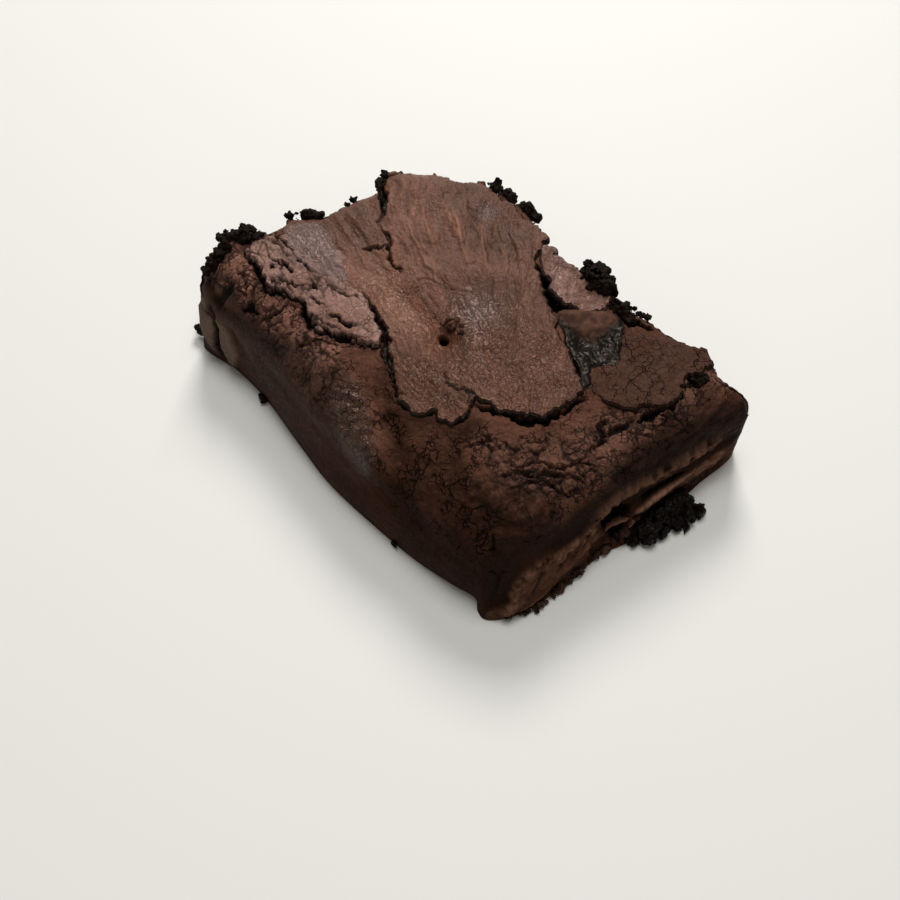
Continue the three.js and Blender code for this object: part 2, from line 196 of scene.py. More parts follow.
def sides_of(sides, counts):
    """One smooth closed outline through the points of all sides, as evenly spaced points for each side."""
    stretches = curve([p for side in sides for p in side], True, 40)
    found = []
    first = 0
    for side, count in zip(sides, counts):
        last = first + len(side)
        line = np.vstack(stretches[first:last] + [stretches[last % len(stretches)][:1]])
        found.append(spaced(line, count))
        first = last
    return found


def reach(x, y, run):
    """Distance to a polyline, and the share of its length at the nearest point."""
    run = np.asarray(run, float)
    along = np.concatenate([[0], np.cumsum(np.hypot(*np.diff(run, axis=0).T))])
    best = np.full(np.shape(x), 1e9)
    share = np.zeros(np.shape(x))
    for i in range(len(run) - 1):
        a, d = run[i], run[i + 1] - run[i]
        t = np.clip(((x - a[0]) * d[0] + (y - a[1]) * d[1]) / max(d @ d, 1e-9), 0, 1)
        away = np.hypot(x - a[0] - t * d[0], y - a[1] - t * d[1])
        share = np.where(away < best, (along[i] + t * (along[i + 1] - along[i])) / along[-1], share)
        best = np.minimum(best, away)
    return best, share


def inside(x, y, outline):
    """Whether each point lies inside a closed outline."""
    odd = np.zeros(np.shape(x), bool)
    a = np.asarray(outline, float)
    b = np.roll(a, -1, 0)
    for (ax, ay), (bx, by) in zip(a, b):
        if ay == by:
            continue
        crosses = ((ay > y) != (by > y)) & (x < (bx - ax) * (y - ay) / (by - ay) + ax)
        odd ^= crosses
    return odd


def patch(x, y, outline, soft):
    """A soft mask over a closed outline: 1 inside, 0 outside, half on the line."""
    away, _ = reach(x, y, np.vstack([outline, outline[:1]]))
    return smooth(0.5 + np.where(inside(x, y, outline), away, -away) / (2 * soft))


def hill(x, y, cx, cy, wx, wy, height):
    return height * np.exp(-(((x - cx) / wx) ** 2) - ((y - cy) / wy) ** 2)


# Between pixels of the photograph and the outline's coordinates
EYE, FORWARD, UP = (np.array(v) for v in (CAMERA_AT, CAMERA_FORWARD, CAMERA_UP))
RIGHT = np.cross(FORWARD, UP)
FOCAL = CAMERA_LENS / SENSOR * IMAGE


def spot(px, py, z):
    """The point at height z that the camera sees at a pixel of the photograph."""
    ray = FORWARD + RIGHT * (px - IMAGE / 2) / FOCAL - UP * (py - IMAGE / 2) / FOCAL
    return tuple((EYE + ray * (z - EYE[2]) / ray[2])[:2])


def spots(z, pixels):
    return [spot(px, py, z) for px, py in pixels]


def seen_at(at):
    """The pixels of the photograph at which points are seen."""
    ray = at - EYE
    far = ray @ FORWARD
    return IMAGE / 2 + FOCAL * (ray @ RIGHT) / far, IMAGE / 2 - FOCAL * (ray @ UP) / far


# The outlines of the four plates of crust
MIDDLE_PLATE = spots(25.5, [
    (383, 171), (392, 169), (415, 170), (428, 169), (439, 170), (445, 175), (454, 179), (462, 182),
    (472, 178), (485, 180), (493, 191), (501, 199), (512, 207), (519, 215), (535, 225), (545, 233),
    (544, 240), (537, 250), (532, 264), (535, 274), (548, 303), (556, 319), (561, 340), (571, 360),
    (579, 378), (578, 391), (569, 401), (553, 409), (532, 415), (519, 413), (501, 409), (486, 403),
    (472, 399), (468, 412), (454, 421), (441, 418), (436, 409), (426, 411), (410, 406), (400, 394),
    (394, 378), (391, 358), (391, 337), (381, 316), (368, 299), (346, 287), (326, 277), (308, 263),
    (293, 253), (286, 247), (280, 238), (287, 222), (293, 215), (304, 216), (320, 216), (343, 207),
    (356, 200), (370, 193), (379, 190), (381, 179),
])
LEFT_PLATE = spots(24.5, [
    (272, 236), (286, 248), (293, 253), (309, 263), (327, 278), (346, 288), (366, 303), (375, 324),
    (381, 335), (378, 347), (363, 345), (341, 338), (321, 329), (308, 320), (304, 303), (288, 294),
    (270, 287), (262, 275), (252, 258), (246, 249), (256, 239),
])
RIGHT_PLATE = spots(24.3, [
    (624, 332), (638, 335), (659, 336), (677, 340), (688, 345), (700, 343), (710, 350), (713, 363),
    (702, 369), (686, 374), (680, 384), (674, 400), (659, 403), (642, 404), (622, 406), (608, 401),
    (596, 394), (592, 384), (595, 372), (606, 367), (618, 362), (622, 343),
])
BACK_FLAKE = spots(25.3, [
    (541, 256), (544, 248), (553, 250), (560, 260), (569, 265), (580, 272), (590, 277), (600, 283),
    (608, 292), (609, 300), (603, 307), (594, 309), (584, 309), (574, 305), (565, 301), (557, 294),
    (551, 284), (545, 272),
])

# The body's main shape
counts = [COLUMNS, ROWS, COLUMNS, ROWS]
base_runs = sides_of(BASE_SIDES, counts)
rim_runs = sides_of(RIM_SIDES, counts)
coarse_rim = [spaced(run, 40) for run in rim_runs]


def crumb_height(x, y):
    """How high the crumb stands below its crust."""

    def fall(run, far):
        away, _ = reach(x, y, run)
        return 1 - np.sqrt(1 - (1 - np.clip(away / far, 0, 1)) ** 2)

    front = (CENTRE_HEIGHT - FRONT_EDGE_HEIGHT) * fall(coarse_rim[0], FRONT_SHOULDER)
    right = (CENTRE_HEIGHT - RIGHT_EDGE_HEIGHT) * fall(coarse_rim[1], RIGHT_SHOULDER)
    cut_back = (CENTRE_HEIGHT - BACK_EDGE_HEIGHT) * fall(coarse_rim[2], BACK_SHOULDER)
    cut_left = (CENTRE_HEIGHT - LEFT_EDGE_HEIGHT) * fall(coarse_rim[3], LEFT_SHOULDER)
    drop = (front**3 + right**3 + cut_back**3 + cut_left**3) ** (1 / 3)
    sink = 1.2 * smooth((x - 24) / 16) + 0.6 * smooth((x + y - 22) / 20)
    hills = sum(hill(x, y, *b) for b in BUMPS) - sum(hill(x, y, *d) for d in DIPS)
    return CENTRE_HEIGHT - drop - sink + hills + 0.3 * noise(x / 4, y / 4)


def crease_height(y):
    """How high the crease runs on the right side."""
    return 3 + 5 * smooth((y + 28) / 20) + 1.5 * smooth((y - 8) / 16)


def wall_bulge(side, x, y, z, share):
    """How far a wall stands out from the straight line between its foot and its rim."""

    def band(middle, width):
        return np.exp(-(((z - middle) / width) ** 2))

    if side == 1:
        crease = crease_height(y)
        below = 0.5 * smooth((crease - z) / 2.5)
        return 1.1 * band(crease, 1.3) - below - hill(y, z, *TORN_HOLLOW) + 0.3 * noise(y / 3, z / 2, 5)
    if side == 0:
        folds = 1.2 * band(6, 4) - 1.6 * band(12, 1.2)
        return 0.9 * np.sin(math.pi * share) + smooth((-34 - x) / 8) * folds
    return 0.8 * noise(x / 3, y / 3, z / 3) + 0.4 * noise(x, y, z)


# The top is a grid that is stretched between the four sides of the rim
u, v = (g[..., None] for g in np.meshgrid(np.linspace(0, 1, COLUMNS + 1), np.linspace(0, 1, ROWS + 1)))
front_run, right_run, back_run, left_run = rim_runs
top_xy = (
    (1 - v) * front_run[None] + v * back_run[::-1][None] + (1 - u) * left_run[::-1][:, None]
    + u * right_run[:, None] - (1 - u) * (1 - v) * front_run[0] - u * (1 - v) * right_run[0]
    - u * v * back_run[0] - (1 - u) * v * left_run[0]
)
top_z = crumb_height(top_xy[..., 0], top_xy[..., 1])
top_points = np.concatenate([top_xy, top_z[..., None]], -1).reshape(-1, 3)
top_index = np.arange(len(top_points)).reshape(ROWS + 1, COLUMNS + 1)

# The walls are rings of points that stand one above the other between the feet and the rim
rim_index = np.concatenate([top_index[0, :-1], top_index[:-1, -1], top_index[-1, :0:-1], top_index[:0:-1, 0]])
side_of_post = np.repeat(np.arange(4), counts)
feet = np.vstack([run[:-1] for run in base_runs])
posts = len(feet)
outward = np.roll(feet, -1, 0) - np.roll(feet, 1, 0)
outward = np.stack([outward[:, 1], -outward[:, 0]], 1)
outward /= np.hypot(*outward.T)[:, None]
from_corner = np.min([abs(np.arange(posts) - start) for start in np.cumsum([0] + counts)], 0)
corner_fade = smooth(from_corner / (CORNER_FADE * COLUMNS))
rim = top_points[rim_index]

rings = [top_points]
for level in range(LEVELS):
    share = level / LEVELS
    z = rim[:, 2] * share
    push = np.zeros(posts)
    for side in range(4):
        here = side_of_post == side
        push[here] = wall_bulge(side, feet[here, 0], feet[here, 1], z[here], share)
    push *= (level > 0) * corner_fade * smooth((1 - share) * 5)
    xy = feet * (1 - share) + rim[:, :2] * share + outward * push[:, None]
    rings.append(np.column_stack([xy, z]))
points = np.vstack(rings)
ring_index = [len(top_points) + level * posts + np.arange(posts) for level in range(LEVELS)] + [rim_index]


def quads(grid_a, grid_b):
    """The faces between two rows of the same length, the second row above the first."""
    return np.column_stack([grid_a[:-1], grid_a[1:], grid_b[1:], grid_b[:-1]])


def looped(ring):
    """The ring with its first point again at its end."""
    return np.append(ring, ring[0])


baked = side_of_post < 2
top_faces = np.vstack([quads(low, high) for low, high in zip(top_index, top_index[1:])])
wall_rows = [quads(looped(low), looped(high)) for low, high in zip(ring_index, ring_index[1:])]
side_faces = np.vstack([row[baked] for row in wall_rows])
cut_faces = np.vstack([row[~baked] for row in wall_rows])
all_faces = np.vstack([top_faces, side_faces, cut_faces])


def normals_of(points, faces):
    """The normal at each point, from the four-sided faces round it."""
    a, b, c, d = (points[faces[:, k]] for k in range(4))
    n = np.cross(c - a, d - b)
    total = np.zeros_like(points)
    for k in range(4):
        np.add.at(total, faces[:, k], n)
    return total / np.maximum(np.linalg.norm(total, axis=1), 1e-9)[:, None]


normals = normals_of(points, all_faces)

# Where each kind of surface lies: cut is 1 at the cut faces, and tin is 1 low on the baked sides
X, Y, Z = points.T
is_wall = np.arange(len(points)) >= len(top_points)
post_side = np.concatenate([np.full(len(top_points), -1), np.tile(side_of_post, LEVELS)])
to_cut = np.minimum(*(reach(X, Y, run)[0] for run in coarse_rim[2:]))
cut = np.where(is_wall & (post_side >= 2), 1.0, np.exp(-((to_cut / 0.7) ** 2)) * (post_side < 0))
tin = smooth((19.5 - Z + 1.4 * noise(X / 3, Y / 3, 2)) / 4) * (1 - cut)

# The open cracks: height, width, depth and the pixels of the photograph that each runs through
CRACKS = [
    (25.0, 1.1, 3.0, [(382, 180), (384, 200), (385, 207), (382, 218), (376, 226)]),
    (25.0, 0.6, 1.6, [(376, 226), (385, 232), (388, 241), (389, 249), (390, 258), (395, 268), (405, 277)]),
    (25.0, 0.4, 1.2, [(389, 249), (376, 250), (360, 250)]),
    (25.5, 0.35, 0.35, [(413, 278), (430, 279), (443, 289), (457, 292), (472, 293), (490, 297)]),
    (24.5, 0.9, 2.2, [(364, 297), (370, 308), (376, 320), (384, 334), (385, 350), (389, 364), (396, 384),
                      (402, 402)]),
    (24.0, 0.7, 1.6, [(260, 286), (268, 289), (276, 290), (284, 292), (290, 297), (298, 300)]),
    (24.0, 0.9, 2.4, [(296, 299), (304, 304), (305, 313), (311, 323), (321, 330)]),
    (24.0, 0.9, 2.2, [(318, 328), (330, 335), (340, 339), (350, 341), (360, 344), (368, 348), (381, 350)]),
    (24.0, 0.7, 2.0, [(245, 252), (250, 260), (258, 268), (260, 277), (264, 284), (270, 290)]),
    (23.5, 1.3, 2.0, [(238, 298), (245, 299), (253, 302), (258, 310)]),
    (23.5, 0.6, 1.4, [(258, 311), (266, 311), (274, 308), (284, 306), (286, 298)]),
    (23.0, 2.0, 1.6, [(206, 281), (212, 285), (219, 286), (227, 280), (231, 274)]),
    (25.0, 0.6, 1.2, [(328, 318), (336, 319), (343, 324), (352, 327), (361, 330)]),
    (25.0, 0.4, 0.9, [(308, 295), (319, 305), (330, 310)]),
    (25.0, 0.35, 0.8, [(268, 255), (277, 264), (288, 271)]),
    (25.0, 0.4, 0.8, [(273, 275), (288, 284), (299, 286), (314, 288), (323, 293)]),
    (25.0, 0.35, 0.7, [(323, 284), (341, 295), (354, 299), (367, 308)]),
    (25.0, 0.4, 0.8, [(288, 251), (297, 262), (310, 271), (320, 279)]),
    (25.0, 0.35, 0.7, [(302, 308), (314, 318), (330, 326), (345, 333)]),
    (23.5, 0.5, 0.9, [(252, 258), (256, 268), (264, 281), (268, 288)]),
    (23.5, 0.45, 0.8, [(236, 262), (240, 272), (246, 282), (245, 292)]),
    (22.5, 0.45, 0.8, [(301, 334), (310, 343), (323, 343), (336, 352)]),
    (22.5, 0.4, 0.6, [(262, 318), (275, 326), (286, 334), (293, 346)]),
    (25.0, 0.7, 1.2, [(280, 260), (288, 270), (292, 277)]),
    (25.0, 0.6, 1.0, [(269, 264), (275, 269)]),
    (25.0, 0.5, 0.9, [(274, 277), (276, 284)]),
    (25.0, 0.5, 0.9, [(291, 280), (298, 290)]),
    (25.0, 0.5, 0.9, [(310, 282), (321, 292)]),
    (25.0, 0.6, 1.0, [(274, 236), (283, 244), (287, 249), (294, 255)]),
    (24.5, 0.6, 1.0, [(247, 238), (262, 236), (274, 239)]),
    (22.5, 0.6, 1.0, [(294, 339), (298, 343), (309, 345), (311, 352)]),
    (25.5, 0.6, 0.9, [(443, 373), (450, 385), (463, 390), (471, 396), (468, 403), (477, 409)]),
    (20.5, 0.45, 0.8, [(460, 463), (470, 457), (483, 455), (490, 461), (488, 472), (485, 484)]),
    (21.0, 0.5, 0.9, [(502, 470), (520, 475), (536, 470), (554, 476), (573, 470), (585, 462), (597, 449),
                      (604, 440)]),
    (20.0, 0.6, 0.9, [(505, 499), (516, 496), (528, 493), (540, 490), (556, 496), (566, 500), (577, 494),
                      (586, 478)]),
    (19.5, 0.8, 1.0, [(500, 488), (516, 484), (530, 487), (546, 484), (560, 488), (576, 482)]),
    (21.5, 0.5, 0.9, [(529, 455), (536, 462), (537, 470)]),
    (21.5, 0.5, 0.9, [(483, 440), (487, 448), (483, 455)]),
    (21.5, 0.5, 0.8, [(548, 446), (543, 456), (536, 462)]),
    (22.0, 0.8, 1.3, [(594, 450), (603, 440), (600, 430), (610, 422)]),
    (22.5, 1.6, 2.4, [(662, 412), (648, 418), (634, 424)]),
    (22.5, 0.9, 1.3, [(634, 422), (622, 430), (610, 434), (604, 441)]),
    (22.0, 0.25, 0.35, [(297, 342), (310, 350), (313, 360), (308, 375), (313, 395), (323, 413)]),
]

# The gaps along the plates' rims, given as the cracks are; the body is painted near-black in them, as painted
# shade under the rims
GAPS = [
    (23.5, 1.0, 1.6, [(384, 360), (388, 368), (396, 384), (402, 399), (412, 409), (428, 415), (438, 413),
                      (446, 424), (460, 424), (470, 414)]),
    (24.0, 1.3, 2.2, [(470, 404), (484, 411), (502, 416), (516, 421), (541, 422), (560, 414), (578, 403),
                      (588, 396)]),
    (24.5, 3.0, 3.4, [(533, 264), (540, 277), (548, 296), (558, 308), (572, 311)]),
    (24.0, 1.0, 1.4, [(560, 312), (566, 329), (570, 350), (577, 369), (585, 386)]),
    (23.5, 1.2, 1.8, [(612, 316), (624, 322), (638, 328), (655, 334)]),
    (22.5, 2.6, 3.4, [(706, 378), (694, 384), (684, 390)]),
    (22.5, 2.4, 3.2, [(680, 398), (672, 405), (662, 410)]),
]


def traced(cracks):
    return [(width, depth, np.vstack(curve(spots(z, run), False, 6))) for z, width, depth, run in cracks]


crack_runs = traced(CRACKS)
gap_runs = traced(GAPS)


def crack_depth(x, y, runs=crack_runs):
    """How deep the open cracks are at each point."""
    wx = x + 0.5 * noise(x * 0.9, y * 0.9, 3) + 0.22 * noise(x * 2.6, y * 2.6, 5)
    wy = y + 0.5 * noise(x * 0.9, y * 0.9, 13) + 0.22 * noise(x * 2.6, y * 2.6, 15)
    deepest = np.zeros(np.shape(x))
    for width, depth, run in runs:
        low, high = run.min(0) - 3, run.max(0) + 3
        near = (wx > low[0]) & (wx < high[0]) & (wy > low[1]) & (wy < high[1])
        if not near.any():
            continue
        away, share = reach(wx[near], wy[near], run)
        taper = np.sqrt(np.sin(math.pi * np.clip(share, 0.01, 0.99)))
        varied = np.clip(1 + 0.55 * noise(wx[near] * 0.7, wy[near] * 0.7, 8), 0.45, 1.7)
        half = 0.5 * width * taper * varied + 0.05
        deepest[near] = np.maximum(deepest[near], depth * taper * smooth(1.8 * (1.3 - away / half)))
    return deepest


# Zones of the top, in the outline's coordinates
LEFT_CRUMBLE = [
    (-47, -22), (-42, -26), (-32, -25), (-20, -24), (-8, -21), (-5, -18), (-14, -13), (-24, -9), (-36, -6),
    (-42, -8), (-45, -16),
]
RIGHT_RUBBLE = [(37, -9), (36, 0), (38.5, 8), (41, 18), (42, 29), (47, 28), (46, 16), (44, 4), (43, -9)]
GREY_PATCH = spots(25, [
    (289, 228), (300, 222), (315, 222), (327, 230), (332, 241), (332, 249), (341, 255), (344, 270),
    (348, 285), (338, 289), (319, 277), (304, 270), (292, 262), (286, 251), (284, 239),
])
# Left of the fold: warmer crust, and in part painted light on the slope that faces the light
WARM_ZONE = spots(25, [
    (344, 262), (357, 270), (376, 278), (395, 274), (405, 285), (424, 308), (441, 327), (434, 346),
    (405, 339), (392, 331), (376, 308), (357, 289),
])

# Zones of the walls and slopes, in pixels of the photograph: the width of the soft border, and the outline
ZONES = {
    "craquelure": (8, [
        (474, 432), (496, 438), (520, 444), (560, 434), (600, 411), (640, 402), (668, 400), (650, 425),
        (634, 440), (624, 462), (604, 482), (580, 496), (552, 498), (524, 490), (500, 478), (482, 458),
    ]),
    "left_lumps": (6, [
        (203, 266), (222, 252), (245, 248), (263, 285), (300, 305), (325, 332), (346, 348), (332, 362),
        (312, 372), (302, 350), (280, 336), (250, 322), (228, 306), (206, 284),
    ]),
    "shoulder_cracks": (10, [
        (258, 312), (300, 335), (340, 352), (362, 376), (352, 402), (330, 420), (306, 400), (284, 370),
        (260, 342),
    ]),
    "front_cracks": (14, [
        (335, 384), (384, 412), (420, 440), (470, 480), (492, 540), (476, 588), (430, 556), (392, 516),
        (362, 470), (340, 430),
    ]),
    # Painted shade: the shoulder below the plates' front rims and the walls below it, which turn away from
    # the light
    "shaded_shoulder": (8, [
        (384, 360), (396, 388), (412, 404), (440, 416), (470, 412), (484, 420), (478, 436), (462, 448),
        (470, 474), (488, 497), (520, 520), (562, 522), (600, 508), (622, 486), (650, 468), (700, 448),
        (740, 415), (750, 430), (720, 470), (640, 540), (600, 570), (540, 610), (500, 640), (455, 600),
        (400, 545), (384, 500), (388, 470), (390, 440), (384, 410), (376, 380),
    ]),
    "right_shoulder": (9, [
        (628, 452), (660, 430), (700, 408), (735, 398), (750, 408), (748, 428), (708, 446), (660, 476),
        (618, 500), (596, 512), (604, 486),
    ]),
    # Painted sheen on the upper left shoulder
    "side_shoulder": (14, [
        (240, 320), (300, 345), (345, 372), (336, 400), (352, 450), (374, 484), (350, 474), (312, 436),
        (276, 396), (248, 362), (226, 334), (222, 312),
    ]),
    "dark_row": (5, [
        (472, 480), (492, 470), (514, 474), (536, 490), (560, 506), (556, 524), (530, 530), (500, 524),
        (478, 508),
    ]),
    "dark_wall": (6, [
        (750, 418), (722, 438), (690, 458), (652, 480), (622, 497), (600, 518), (580, 538), (560, 550),
        (550, 540), (570, 518), (594, 496), (620, 474), (650, 452), (690, 430), (722, 414), (745, 400),
    ]),
    "left_end": (7, [
        (196, 282), (214, 268), (232, 274), (240, 296), (262, 326), (290, 352), (276, 362), (250, 340),
        (228, 318), (206, 300),
    ]),
    "flap": (3, [
        (206, 296), (199, 304), (198, 313), (201, 328), (209, 341), (220, 354), (236, 366), (240, 356),
        (232, 334), (222, 318), (214, 304),
    ]),
    "corner_face": (2, [
        (493, 539), (544, 535), (564, 543), (524, 560), (515, 584), (513, 604), (487, 613), (483, 596),
        (481, 564),
    ]),
    "torn": (2, [
        (609, 510), (620, 505), (630, 506), (629, 518), (626, 532), (618, 542), (605, 530), (601, 520),
    ]),
    "stripes": (3, [
        (517, 606), (514, 594), (531, 573), (557, 558), (576, 545), (590, 536), (604, 532), (616, 545),
        (590, 556), (560, 576), (536, 602), (517, 610),
    ]),
    "sheen": (9, [
        (350, 380), (362, 392), (370, 420), (374, 450), (366, 474), (350, 452), (336, 420), (334, 392),
    ]),
}

# Ridges and grooves of the same faces, in pixels of the photograph: the width, and the run
LINES = {
    "crease": (7, [
        (487, 614), (503, 612), (514, 606), (514, 593), (530, 572), (556, 557), (575, 544), (588, 534),
        (597, 519), (609, 504), (631, 489), (660, 474), (686, 459), (710, 444), (737, 425),
    ]),
    "hollow": (5, [(640, 500), (652, 493), (664, 485), (676, 478), (688, 472)]),
    "second_fold": (5, [(622, 540), (634, 520), (650, 503), (668, 490), (688, 477), (712, 461), (733, 444)]),
    "flap_top": (5, [
        (200, 283), (207, 292), (213, 301), (217, 310), (222, 318), (229, 322), (239, 333), (249, 348),
        (259, 368),
    ]),
    "flap_groove": (4, [(209, 300), (214, 311), (218, 325), (219, 345), (224, 354), (231, 362)]),
    "corner_crack": (2, [(493, 533), (493, 545), (494, 558)]),
    "valley": (16, [(384, 408), (394, 432), (399, 460), (406, 490), (416, 515)]),
    "step": (3, [(297, 342), (310, 350), (313, 360), (308, 375), (313, 395), (323, 413), (330, 424)]),
}

# The pixel at which the camera sees each point, and how squarely it sees the baked sides and the top there
PX, PY = seen_at(points)
to_camera = EYE - points
facing = smooth((normals * to_camera).sum(1) / np.linalg.norm(to_camera, axis=1) / 0.25) * (post_side < 2)


def traced_line(width, run):
    """How near each seen point is to a curve through pixels: 1 on it, 0 at its width and beyond."""
    wx, wy = PX + 1.2 * noise(PX / 5, PY / 5, 2), PY + 1.2 * noise(PX / 5, PY / 5, 6)
    away, share = reach(wx, wy, np.vstack(curve(run, False, 6)))
    ends = np.clip(np.sin(math.pi * np.clip(share, 0.02, 0.98)) * 4, 0, 1)
    return facing * ends * np.clip(1 - away / width, 0, 1)


zone = {name: facing * patch(PX, PY, outline, soft) for name, (soft, outline) in ZONES.items()}
line = {name: traced_line(*given) for name, given in LINES.items()}
ridge = {name: smooth(near) for name, near in line.items()}

# The pit beside the curled nub of crust
PIT = spot(444, 336, 25.5)
PIT_DEPTH = 2.8
PIT_RADIUS = 0.95


def pit_depth(x, y):
    away = np.hypot(x - PIT[0] + 0.3 * noise(x, y, 1), (y - PIT[1]) * 1.3 + 0.3 * noise(x, y, 5))
    return PIT_DEPTH * np.exp(-((away / PIT_RADIUS) ** 4))


cracks = np.maximum(crack_depth(X, Y), crack_depth(X, Y, gap_runs))
cracks = np.maximum(cracks, pit_depth(X, Y)) * (~is_wall)
craquelure = np.maximum.reduce([
    zone["craquelure"], 0.8 * patch(X, Y, LEFT_CRUMBLE, 2), patch(X, Y, RIGHT_RUBBLE, 1.5),
    0.9 * zone["left_lumps"], 0.6 * zone["shoulder_cracks"],
]) * (1 - cut) * smooth((Z - 14) / 4)

# The crumb's relief: broken crust, wrinkles and pores
warped = X + 0.5 * noise(X / 1.6, Y / 1.6, 1), Y + 0.5 * noise(X / 1.6, Y / 1.6, 4)
big_edge, big_kind, _ = cells(*warped, 0.3 * Z, 3.0)
small_edge, small_kind, _ = cells(X + 0.25 * noise(1.4 * X, 1.4 * Y, 1), Y, 0.5 * Z, 1.3)
opened = smooth(0.6 + 0.9 * noise(X / 3, Y / 3, 7))
grooves = opened * (0.5 * np.exp(-((big_edge / 0.22) ** 2)) + 0.3 * np.exp(-((small_edge / 0.17) ** 2)))
lumps = 0.16 * big_kind + 0.08 * small_kind + 0.06 * layers(X, Y, Z, 1.2, 3, 0.6)
relief = craquelure * (lumps - grooves)
shoulder = (1 - craquelure) * (1 - tin) * (1 - cut)
wrinkles_of_slope = 0.14 * layers(X, Y, Z, 2.2, 3, 0.6) - 0.14 * opened * np.exp(-((small_edge / 0.2) ** 2))
relief += shoulder * wrinkles_of_slope
_, pore_kind, pore_far = cells(X, Y, Z, 1.3)
pores = smooth(1 - pore_far / (0.25 + 0.2 * pore_kind)) * (pore_kind > 0.45)
relief += tin * (0.05 * layers(X, Y, Z, 5, 3, 0.6) - 0.16 * pores)

# The rough cut faces, with holes
cut_edge, cut_kind, cut_far = cells(X, Y, Z, 2.4)
_, cut_small_kind, _ = cells(X + 3, Y, Z, 0.95)
holes = smooth(1 - cut_far / 0.8) * (cut_kind > 0.55)
cut_relief = (
    0.55 * layers(X, Y, Z, 3.2, 4, 0.6) + 0.3 * cut_kind + 0.22 * cut_small_kind
    - 0.3 * np.exp(-((cut_edge / 0.3) ** 2)) - 0.7 * holes - 0.5
)
relief += 0.8 * cut * cut_relief

# The folds and flaps of the walls
rugged = layers(X, Y, Z, 1.3, 3, 0.6)
relief += 0.9 * ridge["crease"] * (0.8 + 0.5 * rugged) - 1.1 * ridge["hollow"] * (0.7 + 0.6 * rugged)
relief += 0.4 * ridge["second_fold"] * (0.7 + 0.6 * rugged)
relief += 0.35 * ridge["flap_top"] - 1.0 * ridge["flap_groove"] + 0.8 * zone["flap"]
relief -= 0.35 * zone["corner_face"] * (1 - 0.3 * rugged) + 0.5 * line["corner_crack"]
relief -= zone["torn"] * (1.6 + 0.8 * rugged)
striped = noise((PX + 0.5 * PY) / 3.5, PY / 14, 4)
relief += zone["stripes"] * (0.12 * striped + 0.3 * rugged)
lean = PY - 0.35 * PX
wrinkled = 0.28 * noise(PX / 12, lean / 3.2, 4) + 0.18 * noise(PX / 6, lean / 1.9, 9)
relief += zone["sheen"] * (0.35 + wrinkled) + 0.5 * wrinkled * zone["side_shoulder"] - 0.7 * ridge["valley"]
relief -= 0.2 * ridge["step"]
bark = noise(X / 0.8, Y / 3.5, Z / 1.0) + 0.5 * noise(X / 0.5, Y / 1.6, Z / 0.5 + 3)
relief += 0.3 * bark * zone["right_shoulder"]

# The right side's band below the crease is grooved along its length, and torn open at one place
crease_z = crease_height(Y)
band = smooth((X - 40) / 4) * smooth((crease_z + 0.5 - Z) / 1.2) * (post_side == 1)
relief += band * (0.22 * noise(Y * 0.35, 2.6 * (Z - crease_z), 2) + 0.16 * layers(X, Y, Z, 0.9, 2))
torn = hill(Y, Z, *TORN_MARK) * (post_side == 1)
relief -= torn * 0.8 * (0.6 + 0.5 * noise(X, Y, Z))

# The relief fades at the foot and at the sharp back right corner
FOOT_HEIGHT = 0.8
BACK_RIGHT_CORNER = (*RIM_SIDES[2][0], 2, 2, 0.85)
grip = smooth(Z / FOOT_HEIGHT) * (1 - hill(X, Y, *BACK_RIGHT_CORNER))
points = points + normals * (relief * grip)[:, None]
points[:, 2] = np.where(is_wall, points[:, 2], points[:, 2] - cracks)


def linear(r, g, b):
    """A colour that is given as it looks on a screen, from 0 to 255, as linear light."""
    c = np.array([r, g, b]) / 255
    return np.where(c <= 0.04045, c / 12.92, ((c + 0.055) / 1.055) ** 2.4)


CRUST = linear(96, 63, 50)
CRUST_WARM = linear(122, 82, 65)
CRUST_DARK = linear(68, 43, 33)
BAKED = linear(60, 34, 21)
BAKED_DARK = linear(43, 23, 14)
# The band below the right side's crease: partly its own lighter brown and partly painted light bounced up
# from the floor
BOUNCE_LIT_BAND = linear(112, 80, 62)
CUT = linear(31, 19, 14)
# Dark fudge, which is also the near-black of the painted shade in cracks, hollows and under the plates' rims
FUDGE_AND_SHADE = linear(12, 8, 6)


def mix(a, b, t):
    t = np.asarray(t)[..., None]
    return a * (1 - t) + b * t


def between(a, b, t):
    """The mix with the share t kept from 0 to 1."""
    return mix(a, b, np.clip(t, 0, 1))


def painted(base, coats):
    """The base under coats of other colours: each coat is a colour and how far it covers, from 0 to 1."""
    for tint, cover in coats:
        base = between(base, tint, cover)
    return base


